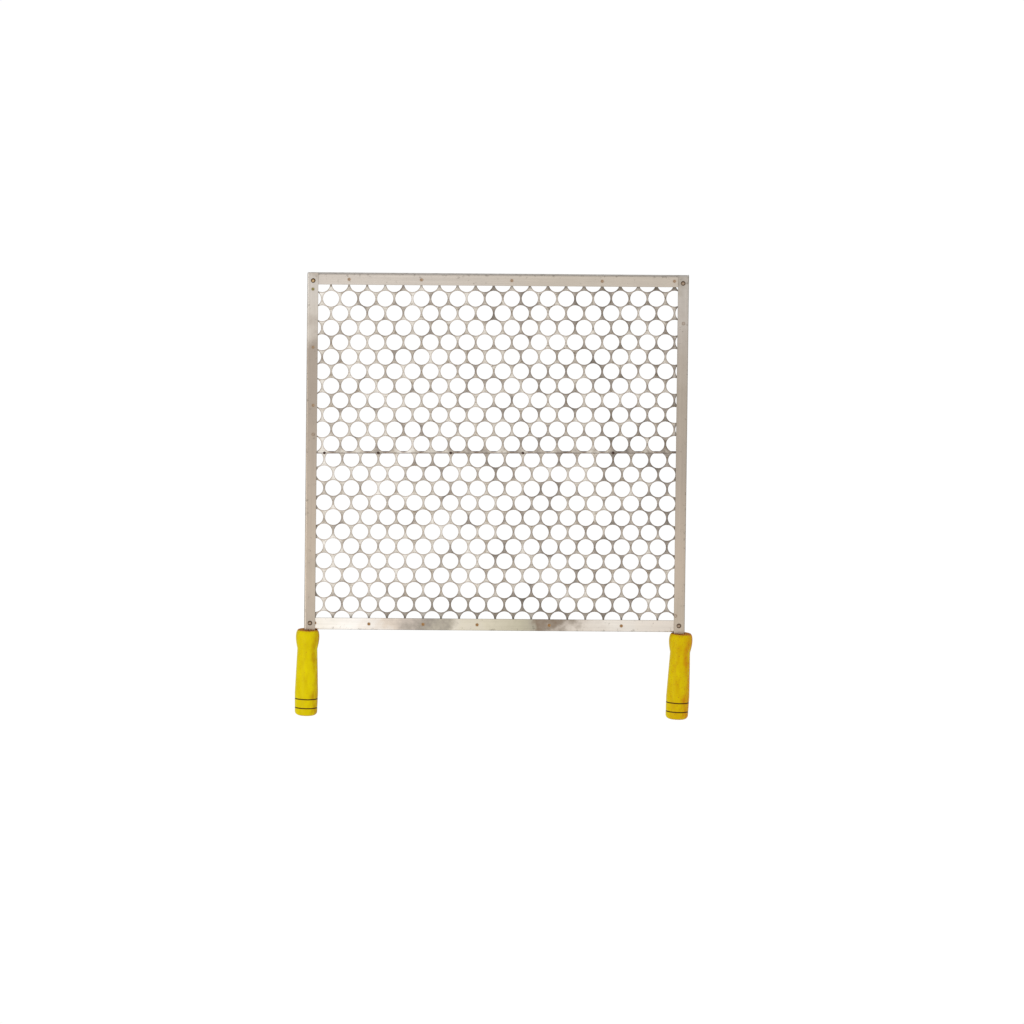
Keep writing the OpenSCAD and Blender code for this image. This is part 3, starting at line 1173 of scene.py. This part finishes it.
@dataclass
class GridSheet:
    """One sheet of coin-blank scrap, built cell by cell and trimmed to its outline.

    A cell is the metal round one hole, out to the lines halfway to its six neighbours.
    """

    plan: GratePlan
    end: End
    first_row: float
    row_step: float
    phase: float
    turn: float
    far: float
    slit: float
    trim: float
    finish: bpy.types.Material
    pitch: float = 23.63
    hole: float = 21.4
    sheet: float = 1.5
    rollover: float = 0.25
    rim: float = 1.6
    steps: int = 24
    rows: int = 12
    columns: int = 12
    half_w: float = 244.9
    snip: float = 465.62
    seam_y: float = 0.2
    seam_turn: float = 0.45

    def cell(self, bm: bmesh.types.BMesh) -> list:
        """Makes one cell's top, with the punched edge rolled over into the hole.

        Args:
            bm: The sheet's mesh.

        Returns:
            The cell's vertices, edges and faces.
        """
        rise = (self.row_step - (self.pitch / 2) ** 2 / self.row_step) / 2
        half = self.pitch / 2
        corners = [
            (half, -rise),
            (half, rise),
            (0, self.row_step - rise),
            (-half, rise),
            (-half, -rise),
            (0, rise - self.row_step),
        ]
        ring = [bm.verts.new((x * MM, y * MM, 0)) for x, y in corners]
        outer = [bm.edges.new((a, b)) for a, b in zip(ring, ring[1:] + ring[:1])]
        split = bmesh.ops.subdivide_edges(bm, edges=outer, cuts=self.steps // 6 - 1)
        loops = [only(bmesh.types.BMEdge, split["geom"])]
        loops[0] = list({*loops[0], *(e for e in bm.edges if len(e.link_faces) == 0)})
        for radius, drop in ((self.hole / 2 + self.rollover, 0), (self.hole / 2, self.rollover)):
            made = bmesh.ops.create_circle(
                bm,
                segments=self.steps,
                radius=radius * MM,
                matrix=Matrix.Translation((0, 0, -drop * MM)),
            )
            loops.append(list({e for v in made["verts"] for e in v.link_edges}))
        bmesh.ops.bridge_loops(bm, edges=loops[0] + loops[1])
        bmesh.ops.bridge_loops(bm, edges=loops[1] + loops[2])
        edge, reach = self.hole / 2 * MM, self.rim * MM
        keep_vectors(bm, "rim", lambda co: Vector((1 - (co.xy.length - edge) / reach, 0, 0)))
        return [*bm.verts, *bm.edges, *bm.faces]

    def close_hole(self, bm: bmesh.types.BMesh, copied: list) -> None:
        """Turns a copied cell into plain metal, as beyond the first and last rows.

        Args:
            bm: The sheet's mesh.
            copied: The cell's vertices, edges and faces.
        """
        rim = bm.verts.layers.float_vector["rim"]
        edges = only(bmesh.types.BMEdge, copied)
        punched = [e for e in edges if e.is_boundary and e.verts[0].co.z < 0]
        bmesh.ops.contextual_create(bm, geom=punched)
        for vert in only(bmesh.types.BMVert, copied):
            vert.co.z = 0
            vert[rim] = (0, 0, 0)

    def lay_out(self) -> bmesh.types.BMesh:
        """Repeats the cell over the sheet's rows.

        Returns:
            The top of an untrimmed sheet, in its own axes.
        """
        bm = bmesh.new()
        cell = self.cell(bm)
        for row in range(-1, self.rows + 1):
            for column in range(-self.columns, self.columns + 1):
                place = (
                    (self.phase + self.pitch * (column + (row % 2) / 2)) * MM,
                    (self.first_row + self.row_step * row) * MM,
                    0,
                )
                copied = bmesh.ops.duplicate(bm, geom=cell)["geom"]
                bmesh.ops.translate(bm, verts=only(bmesh.types.BMVert, copied), vec=place)
                if row not in range(self.rows):
                    self.close_hole(bm, copied)
        bmesh.ops.delete(bm, geom=only(bmesh.types.BMVert, cell), context="VERTS")
        bmesh.ops.remove_doubles(bm, verts=bm.verts, dist=0.02 * MM)
        return bm

    def outline(self) -> list[tuple[Pair, Pair]]:
        """Gives the trimming lines.

        Returns:
            A point on each line and its outward direction, in the frame's axes.
        """
        sign, lean_at = self.end.value, self.plan.lean_at
        seam = math.radians(self.seam_turn)
        seam_edge = self.seam_y - self.slit
        lines = [
            ((0, seam_edge), (sign * math.sin(seam), -sign * math.cos(seam))),
            ((0, sign * self.far), (0, sign)),
        ]
        for side in (-1, 1):
            edge = side * self.half_w
            start = edge - side * self.trim
            lines += [
                ((edge, 0), (side, -side * lean_at(1))),
                (
                    (side * (self.snip - self.far) + lean_at(sign * self.far), sign * self.far),
                    (side, sign),
                ),
                ((start, seam_edge + start * math.tan(seam)), (side, -sign)),
            ]
        return lines

    def build(self) -> bpy.types.Object:
        """Builds the sheet.

        Returns:
            The finished sheet.
        """
        plan, sign = self.plan, self.end.value
        bm = self.lay_out()
        place = (
            plan.shift()
            @ Matrix.Translation(Vector((0, self.seam_y, -2 * plan.metal)) * MM)
            @ Matrix.Rotation(math.radians(self.turn), 4, "Z")
            @ Matrix.Diagonal((1, sign, 1, 1))
        )
        bmesh.ops.transform(bm, matrix=place, verts=bm.verts)
        for point, outward in self.outline():
            bmesh.ops.bisect_plane(
                bm,
                geom=[*bm.verts, *bm.edges, *bm.faces],
                dist=0.001 * MM,
                plane_co=plan.at(*point),
                plane_no=Vector((*outward, 0)).normalized(),
                clear_outer=True,
            )
        loose = [v for v in bm.verts if not v.link_faces]
        bmesh.ops.delete(bm, geom=loose, context="VERTS")
        grown = bmesh.ops.extrude_face_region(bm, geom=bm.faces[:], use_keep_orig=True)
        bottom = plan.at(0, 0, -2 * plan.metal - self.sheet).z
        for vert in only(bmesh.types.BMVert, grown["geom"]):
            vert.co.z = bottom
        bmesh.ops.recalc_face_normals(bm, faces=bm.faces)
        node = f"{self.end.name.lower()}_grid_sheet"
        piece = make_object(bm, node + "_punched", [self.finish], crease=30)
        settle(piece, node)
        return piece


@dataclass
class SeamBar:
    """The flat bar on edge that stiffens the seam from below."""

    plan: GratePlan
    finish: bpy.types.Material
    length: float = 495.8
    thick: float = 1.8
    deep: float = 8.5
    mill_edge: float = 0.45
    deburr: float = 0.15
    shear: float = 1.5

    def build(self) -> bpy.types.Object:
        """Builds the bar, with rolled long edges and sheared ends.

        Returns:
            The finished bar.
        """
        low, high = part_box("seam_bar")
        bm = bmesh.new()
        half_t, half_d = self.thick / 2, self.deep / 2
        ring = [
            bm.verts.new((-self.length / 2 * MM, y * half_t * MM, z * half_d * MM))
            for y, z in ((-1, -1), (1, -1), (1, 1), (-1, 1))
        ]
        bm.faces.new(ring)
        round_corners(bm, ring, self.mill_edge, 3)
        draw_out(bm, Vector((self.length, 0, 0)))
        lean = math.tan(math.radians(self.shear))
        for vert in bm.verts:
            vert.co.x *= 1 - lean * (half_d * MM - vert.co.z) / (self.length / 2 * MM)
        soften_edges(bm, self.deburr)
        place = Matrix.Translation((low + high) / 2) @ Matrix.Rotation(
            math.radians(GridSheet.seam_turn), 4, "Z"
        )
        bmesh.ops.transform(bm, matrix=place, verts=bm.verts)
        piece = make_object(bm, "seam_flat_bar", [self.finish], flat=0.15)
        settle(piece, "seam_bar")
        return piece


@dataclass
class TurnedDot:
    """A small turned shape on the metal: a weld, a rivet or a tack."""

    plan: GratePlan
    node: str
    name: str
    slot: str
    finish: bpy.types.Material
    seed: int
    steps: int = 20
    lump: float = 0.0

    def profile(self, depth: float) -> Profile:
        """Gives the outline from the centre of the top to the centre of the bottom.

        Args:
            depth: Height of the CAD node.

        Returns:
            Radius and height of each point, with the node's top at 0.
        """
        raise NotImplementedError

    def build(self) -> bpy.types.Object:
        """Builds the shape at its CAD node.

        Returns:
            The finished piece.
        """
        low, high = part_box(self.node)
        outline = self.profile((high.z - low.z) / MM)
        rim = max(r for r, _ in outline) * MM
        bm = spin_profile(outline, self.steps)
        if self.lump:
            draw = random.Random(self.seed)
            shift = Vector([draw.uniform(-9, 9) for _ in range(3)])
            for vert in bm.verts:
                push = noise.noise(vert.co / (1.4 * MM) + shift)
                flat = Vector((vert.co.x, vert.co.y, 0))
                vert.co += flat * push * self.lump
        keep_vectors(bm, "ring", lambda co: Vector((co.xy.length / rim, 0, 0)))
        bmesh.ops.transform(
            bm, matrix=Matrix.Translation(self.plan.head(self.node)), verts=bm.verts
        )
        piece = make_object(bm, self.name, [self.finish], crease=60)
        settle(piece, self.node)
        return piece


@dataclass
class SpotWeld(TurnedDot):
    """A resistance weld: a dished button with a squeezed rim, through flange and sheet."""

    bore: float = 1.69
    rim: float = 2.0
    dimple: float = 0.25
    proud: float = 0.07

    def profile(self, depth: float) -> Profile:
        """Gives the button's outline; the node's top is the bottom of the dimple."""
        top = self.dimple
        return [
            (0, 0.0),
            (0.75, 0.01),
            (1.2, 0.06),
            (1.5, top * 0.6),
            (self.bore, top + self.proud * 0.6),
            ((self.bore + self.rim) / 2, top + self.proud),
            (self.rim, top + 0.01),
            (self.rim, top - 0.02),
            (self.bore, top - 0.03),
            (self.bore, -depth - 0.02),
            (1.35, -depth - 0.1),
            (0.8, -depth - 0.06),
            (0, -depth - 0.03),
        ]


@dataclass
class CornerRivet(TurnedDot):
    """A set rivet: a hammered dome, a shank through both flanges and a clinched tail."""

    head: float = 3.1
    crown: float = 1.6
    shank: float = 1.6
    tail: float = 2.3
    tail_h: float = 1.2

    def profile(self, depth: float) -> Profile:
        """Gives the rivet's outline; the node's top is the crown."""
        seat = -self.crown
        dome = [
            (self.head * math.sin(math.radians(a)), seat + self.crown * math.cos(math.radians(a)))
            for a in (24, 38, 52, 66, 79, 90)
        ]
        return [
            (0, -0.28),
            (0.55, -0.26),
            (0.95, -0.12),
            *dome,
            (self.head, seat - 0.02),
            (self.shank, seat - 0.03),
            (self.shank, self.tail_h - depth),
            (self.tail, self.tail_h - depth - 0.02),
            (self.tail, 0.35 - depth),
            (self.tail * 0.82, -depth),
            (0, -depth),
        ]


@dataclass
class SeamTack(TurnedDot):
    """A tack weld: a low lumpy bead across the seam."""

    radius: float = 1.9
    sink: float = 0.4

    def profile(self, depth: float) -> Profile:
        """Gives the bead's outline; the node's top is its crest."""
        arc = [
            (
                self.radius * math.sin(math.radians(a)),
                depth * (math.cos(math.radians(a)) - 1),
            )
            for a in (0, 18, 36, 54, 72, 90)
        ]
        return [*arc, (self.radius * 0.9, -depth - self.sink), (0, -depth - self.sink)]


@dataclass
class TurnedGrip:
    """A turned softwood grip on a tang: collar, waisted neck, barrel and two scored bands."""

    plan: GratePlan
    side: Side
    splay: float
    gap: float
    offset: float
    finish: YellowEnamel
    length: float = 113.5
    collar: float = 15.4
    neck: float = 13.1
    barrel: float = 15.2
    mouth: float = 13.6
    lip: float = 1.4
    collar_at: float = 9.5
    neck_at: float = 25.0
    barrel_at: float = 84.0
    tip: float = 14.7
    tip_round: float = 5.0
    band_w: float = 1.3
    band_depth: float = 0.35
    bands: tuple[float, ...] = (91.0, 103.0)
    bore: float = 8.0
    bore_l: float = 70.0
    axis_z: float = -4.0
    steps: int = 64

    def barrel_r(self, along: float) -> float:
        """Gives the barrel's radius at a distance from the mouth."""
        span = self.length - self.tip_round - self.barrel_at
        share = max(0.0, (along - self.barrel_at) / span)
        return self.barrel + (self.tip - self.barrel) * share

    def profile(self) -> Profile:
        """Gives the outline from the mouth's face to the centre of the tip.

        Returns:
            Radius and distance from the mouth of each point.
        """

        def blend(a: float, b: float, t: float) -> float:
            """Gives the value a share t of the way from a to b."""
            return a + (b - a) * t

        def turns(*degrees: int) -> list[tuple[float, float, float]]:
            """Gives the sine, the cosine and the share of a quarter turn of each angle."""
            angles = [math.radians(d) for d in degrees]
            return [(math.sin(a), math.cos(a), a / math.radians(90)) for a in angles]

        steps = range(0, 91, 15)
        outline = [
            (self.mouth - self.lip + self.lip * s, self.lip - self.lip * c)
            for s, c, _ in turns(*steps)
        ]
        outline += [
            (blend(self.mouth, self.collar, s), blend(self.collar_at, self.lip, c))
            for s, c, _ in turns(*range(10, 91, 10))
        ]
        outline += [
            (blend(self.neck, self.collar, c), blend(self.collar_at, self.neck_at, t))
            for _, c, t in turns(*range(9, 91, 9))
        ]
        swell = self.barrel_at - self.neck_at
        outline += [
            (blend(self.neck, self.barrel, (at - self.neck_at) / swell), at)
            for at in (36.0, 48.0, 60.0, 74.0)
        ]
        outline.append((self.barrel, self.barrel_at))
        for band in self.bands:
            radius = self.barrel_r(band)
            outline += [
                (radius, band - self.band_w / 2),
                (radius - self.band_depth, band - self.band_w / 4),
                (radius - self.band_depth, band + self.band_w / 4),
                (radius, band + self.band_w / 2),
            ]
        outline += [
            (
                self.tip - self.tip_round + self.tip_round * c,
                self.length - self.tip_round + self.tip_round * s,
            )
            for s, c, _ in turns(*steps)
        ]
        # the dimple that the lathe's centre leaves
        return [*outline, (2.2, self.length), (1.2, self.length - 0.7), (0, self.length - 1.1)]

    def build(self) -> bpy.types.Object:
        """Builds the grip, bored for its tang.

        Returns:
            The finished grip.
        """
        sign = self.side.value
        bm = spin_profile(self.profile(), self.steps)
        bmesh.ops.translate(bm, verts=bm.verts, vec=(sign * self.offset * MM, 0, 0))
        rim = [e for e in bm.edges if e.is_boundary]
        bore = bmesh.ops.create_circle(bm, segments=self.steps, radius=self.bore * MM)
        mouth = list({e for v in bore["verts"] for e in v.link_edges})
        grown = bmesh.ops.extrude_edge_only(bm, edges=mouth)
        ends = only(bmesh.types.BMVert, grown["geom"])
        bmesh.ops.translate(bm, verts=ends, vec=(0, 0, self.bore_l * MM))
        bmesh.ops.contextual_create(bm, geom=only(bmesh.types.BMEdge, grown["geom"]))
        bmesh.ops.bridge_loops(bm, edges=rim + mouth)
        bmesh.ops.recalc_face_normals(bm, faces=bm.faces)
        keep_vectors(bm, "turning", lambda co: co - Vector((sign * self.offset * MM, 0, 0)))
        plan = self.plan
        start = Vector((sign * (plan.frame_w - plan.flange) / 2, -plan.frame_d / 2, 0)) * MM
        place = (
            plan.shift()
            @ plan.lean_side(self.side)
            @ Matrix.Translation(start)
            @ Matrix.Rotation(math.radians(sign * self.splay), 4, "Z")
            @ Matrix.Translation(Vector((0, -self.gap, self.axis_z)) * MM)
            @ Matrix.Rotation(math.radians(90), 4, "X")
        )
        bmesh.ops.transform(bm, matrix=place, verts=bm.verts)
        side = self.side.name.lower()
        piece = make_object(bm, f"{side}_grip_turned", [self.finish.make()], crease=24)
        settle(piece, f"{side}_grip")
        return piece


@dataclass
class Frame:
    """The four rails of the frame."""

    plan: GratePlan
    height: float = 14.0

    def rails(self) -> list[SideRail | CrossRail]:
        """Lists the rails, each with its own finish.

        Returns:
            The rails, ready to build.
        """
        plan = self.plan
        half_d, half_w = plan.frame_d / 2, plan.frame_w / 2
        inner = plan.frame_w - 2 * plan.metal - plan.slack
        right_overrun = 0.4

        def steel(name: str, run: Run, wall: float, edge: float, tones: Stops) -> RolledStainless:
            """Makes a rail's finish from its tones, back to front or left to right."""
            half = half_w if run is Run.ACROSS else half_d
            return RolledStainless(name, run, half, tones, wall, edge)

        left = SideRail(
            plan,
            "left_side_rail",
            plan.flange,
            self.height,
            plan.frame_d + SideRail.overrun,
            steel(
                "cold-rolled stainless, left rail",
                Run.DEEP,
                -half_w,
                plan.flange - half_w,
                (
                    (0.0, "#b8ab9c"),
                    (0.25, "#bdaf9f"),
                    (0.5, "#b0a395"),
                    (0.78, "#a79b8f"),
                    (0.88, "#c8c0b6"),
                    (0.95, "#cac3bb"),
                    (1.0, "#b7ada2"),
                ),
            ),
            [f"left_rail_weld_{i}" for i in range(1, 7)],
        )
        right = SideRail(
            plan,
            "right_side_rail",
            plan.flange,
            self.height,
            plan.frame_d + right_overrun,
            steel(
                "cold-rolled stainless, right rail",
                Run.DEEP,
                half_w,
                half_w - plan.flange,
                (
                    (0.0, "#baad9d"),
                    (0.2, "#bdae9e"),
                    (0.45, "#aca093"),
                    (0.65, "#aca194"),
                    (0.85, "#b6ada4"),
                    (0.95, "#bab3ab"),
                    (1.0, "#a39a8e"),
                ),
            ),
            [f"right_rail_weld_{i}" for i in range(1, 6)],
            side=Side.RIGHT,
            splay=-2.3,
            gap=1.8,
            overrun=right_overrun,
            dressed=0.4,
        )
        back = CrossRail(
            plan,
            "back_rail",
            plan.back_flange,
            self.height,
            inner,
            steel(
                "cold-rolled stainless, back rail",
                Run.ACROSS,
                half_d,
                half_d - plan.back_flange,
                (
                    (0.0, "#cdc4bb"),
                    (0.35, "#c9c0b6"),
                    (0.65, "#c3b9ac"),
                    (1.0, "#c0b6aa"),
                ),
            ),
            [f"back_rail_weld_{i}" for i in range(1, 6)],
            end=End.BACK,
        )
        front = CrossRail(
            plan,
            "front_rail",
            plan.front_flange,
            self.height,
            inner,
            steel(
                "cold-rolled stainless, front rail",
                Run.ACROSS,
                -half_d,
                plan.front_flange - half_d,
                (
                    # the near-white left end is a painted reflection of bright light from the left
                    # front
                    (0.0, "#efe8dd"),
                    (0.15, "#f3eee8"),
                    (0.22, "#dccfc1"),
                    (0.27, "#c0b5aa"),
                    (0.315, "#9c948a"),
                    (0.35, "#b6ae9f"),
                    (0.39, "#dad2c3"),
                    (0.48, "#d2cab6"),
                    (0.57, "#bcb5a0"),
                    (0.61, "#aaa393"),
                    (0.64, "#8a7a6a"),
                    (0.67, "#968a7d"),
                    (0.72, "#d4cabf"),
                    (0.82, "#e3dcd3"),
                    (1.0, "#d6cbbf"),
                ),
            ),
            [f"front_rail_weld_{i}" for i in range(1, 8)],
            end=End.FRONT,
        )
        return [left, right, back, front]

    def build(self) -> list[bpy.types.Object]:
        """Builds the four rails."""
        return [rail.build() for rail in self.rails()]


@dataclass
class Grid:
    """The two punched sheets, the bar under their seam and the tacks across it."""

    plan: GratePlan
    slit: float = 0.2
    tacks: int = 5

    def build(self) -> list[bpy.types.Object]:
        """Builds the grid.

        Returns:
            Its pieces.
        """
        plan = self.plan
        middle = plan.at(0, GridSheet.seam_y - self.slit / 2)
        turn = Matrix.Rotation(math.radians(GridSheet.seam_turn), 4, "Z")
        seam = Matrix.Translation(middle) @ turn
        steel = PunchedStainless("punched stainless strip, heat-browned").make(plan, seam)
        back = GridSheet(plan, End.BACK, 11.9, 19.27, -3.3, 0.45, 232.3, 0.0, 1.5, steel)
        front = GridSheet(plan, End.FRONT, 8.8, 19.32, -0.7, 0.22, 231.3, self.slit, 7.0, steel)
        rust = HeatTint(
            "rusted tack weld",
            ((0.0, "#553929"), (0.5, "#3f2b20"), (1.0, "#2e2018")),
            roughness=0.6,
            metallic=0.35,
            crust=0.3,
        ).make()
        beads = [
            SeamTack(plan, f"seam_tack_{i}", f"tack_bead_{i}", "weld_metal", rust, i, lump=0.22)
            for i in range(1, self.tacks + 1)
        ]
        parts = [back, front, SeamBar(plan, MillBar().make()), *beads]
        return [part.build() for part in parts]


@dataclass
class Joints:
    """The spot welds and the corner rivets that hold the frame and the grid together."""

    plan: GratePlan
    counts: dict[str, int] = field(
        default_factory=lambda: {"back": 5, "front": 7, "left": 6, "right": 5}
    )

    def tints(self) -> dict[str, bpy.types.Material]:
        """Makes the oxide colours of the welds.

        Returns:
            A material for each rail's name, and "olive" for the one that was hottest.
        """
        rings: dict[str, Stops] = {
            "back": ((0.0, "#b8a28c"), (0.55, "#8f745c"), (1.0, "#ab957f")),
            "front": ((0.0, "#a98c68"), (0.55, "#8b6238"), (1.0, "#a88a66")),
            "left": ((0.0, "#b2a18d"), (0.55, "#8f745a"), (1.0, "#a89580")),
            "right": ((0.0, "#ae9d89"), (0.55, "#8a7058"), (1.0, "#a5927d")),
            "olive": ((0.0, "#a39b70"), (0.55, "#7d7343"), (1.0, "#99906b")),
        }
        return {
            key: HeatTint(f"heat-tinted spot weld, {key}", stops).make()
            for key, stops in rings.items()
        }

    def rivets(self) -> list[CornerRivet]:
        """Lists the corner rivets.

        Returns:
            The rivets, ready to build.
        """
        # each rivet runs light at the dome's centre, a painted highlight, to dark rust at the rim
        grey: Stops = ((0.0, "#a89684"), (0.4, "#9a8673"), (0.72, "#5b4a3b"), (1.0, "#4b3d31"))
        gold: Stops = ((0.0, "#cbb28c"), (0.4, "#b3966d"), (0.66, "#5c452d"), (1.0, "#402f20"))
        dull = HeatTint("set steel rivet, dull, painted highlight", grey, roughness=0.4).make()
        bright = HeatTint("set steel rivet, straw-tinted", gold, roughness=0.35).make()
        return [
            CornerRivet(
                self.plan,
                f"{end}_{side}_rivet",
                f"{end}_{side}_rivet_set",
                "rivets",
                bright if (end, side) == ("back", "left") else dull,
                seed,
                steps=28,
            )
            for seed, (end, side) in enumerate(
                (end, side) for end in ("back", "front") for side in ("left", "right")
            )
        ]

    def build(self) -> list[bpy.types.Object]:
        """Builds the joints.

        Returns:
            Their pieces.
        """
        tints = self.tints()
        welds = [
            SpotWeld(
                self.plan,
                f"{rail}_rail_weld_{i}",
                f"{rail}_rail_button_{i}",
                "weld_metal",
                tints["olive" if (rail, i) == ("left", 1) else rail],
                i,
            )
            for rail, count in self.counts.items()
            for i in range(1, count + 1)
        ]
        return [joint.build() for joint in (*welds, *self.rivets())]


@dataclass
class Grips:
    """The two painted grips."""

    plan: GratePlan

    def build(self) -> list[bpy.types.Object]:
        """Builds the grips.

        Returns:
            Their pieces.
        """
        bands, length, barrel = TurnedGrip.bands, TurnedGrip.length, TurnedGrip.barrel
        lemon = YellowEnamel("yellow enamel on turned softwood, left", bands, length, barrel)
        ochre = YellowEnamel(
            "yellow enamel on turned softwood, right",
            bands,
            length,
            barrel,
            thick="#ccb500",
            thin="#c09d00",
            shaded_flank="#c07c08",
            speck="#a8601c",
            shaded_flank_from=0.3,
            speckle=0.6,
        )
        return [
            TurnedGrip(self.plan, Side.LEFT, 0.7, 0.6, 2.3, lemon).build(),
            TurnedGrip(self.plan, Side.RIGHT, -2.3, 1.8, 2.7, ochre).build(),
        ]


@dataclass
class Studio:
    """A white floor, soft white light and the camera above the grate."""

    plan: GratePlan
    lens: float = 800.0
    sensor: float = 36.0
    view_w: float = 1340.8
    tilt: float = 10.0
    roll: float = 0.45
    aim: tuple[float, float, float] = (21.15, -77.64, 0.0)
    floor_half: float = 60.0
    floor_glow: float = 1.02
    bounce_glow: float = 0.75
    room_glow: float = 1.05
    softbox_size: Pair = (1.3, 1.0)
    softbox_power: float = 7.0
    softbox_at: tuple[float, float, float] = (-1400.0, -700.0, 1500.0)

    def camera(self) -> None:
        """Sets the camera over the grate, leaning a little towards its back rail."""
        data = bpy.data.cameras.new("camera")
        data.lens, data.sensor_width = self.lens, self.sensor
        away = self.view_w * MM * self.lens / self.sensor
        data.clip_start, data.clip_end = away * 0.01, away * 10
        tilt, roll = math.radians(self.tilt), math.radians(self.roll)
        back = Vector((0, math.sin(tilt), math.cos(tilt)))
        level, rise = Vector((1, 0, 0)), Vector((0, math.cos(tilt), -math.sin(tilt)))
        right = level * math.cos(roll) + rise * math.sin(roll)
        up = rise * math.cos(roll) - level * math.sin(roll)
        made = bpy.data.objects.new("camera", data)
        turn = Matrix((right, up, back)).transposed().to_4x4()
        made.matrix_world = Matrix.Translation(self.plan.at(*self.aim) + back * away) @ turn
        bpy.context.scene.collection.objects.link(made)
        bpy.context.scene.camera = made

    def floor(self) -> None:
        """Lays a white floor that shows no shadow, and a greyer one that lights the grate."""
        for name, glow, seen in (
            ("studio_floor", self.floor_glow, True),
            ("studio_bounce", self.bounce_glow, False),
        ):
            made, tree = new_material(name.replace("_", " ") + " paper")
            light = add_node(tree, "Emission", {0: (1, 1, 1, 1), 1: glow})
            add_node(tree, "OutputMaterial", {0: light})
            bm = bmesh.new()
            bmesh.ops.create_grid(bm, x_segments=1, y_segments=1, size=self.floor_half)
            bmesh.ops.translate(bm, verts=bm.verts, vec=(0, 0, -0.2 * MM))
            floor = make_object(bm, name, [made])
            floor.visible_camera = seen
            floor.visible_diffuse = floor.visible_glossy = not seen

    def lights(self) -> None:
        """Surrounds the grate with soft white light and one brighter softbox."""
        world = bpy.data.worlds.new("soft white room")
        world.use_nodes = True
        sky = world.node_tree.nodes["Background"].inputs
        sky[0].default_value, sky[1].default_value = (1.0, 0.995, 0.985, 1.0), self.room_glow
        bpy.context.scene.world = world
        data = bpy.data.lights.new("softbox", "AREA")
        data.shape, data.energy = "RECTANGLE", self.softbox_power
        data.size, data.size_y = self.softbox_size
        box = bpy.data.objects.new("softbox", data)
        spot = self.plan.at(*self.softbox_at)
        box.location = spot
        box.rotation_euler = (self.plan.at(0, -150) - spot).to_track_quat("-Z", "Y").to_euler()
        bpy.context.scene.collection.objects.link(box)

    def build(self) -> None:
        """Sets up the studio."""
        bpy.context.scene.view_settings.view_transform = "Standard"
        self.camera()
        self.floor()
        self.lights()


def main() -> None:
    """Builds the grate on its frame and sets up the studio."""
    logging.basicConfig(level=logging.INFO, format="%(name)s: %(message)s")
    plan = GratePlan.read()
    for assembly in (Studio(plan), Frame(plan), Grid(plan), Joints(plan), Grips(plan)):
        assembly.build()
        LOG.info("%s is in place", type(assembly).__name__)


if __name__ == "__main__":
    main()
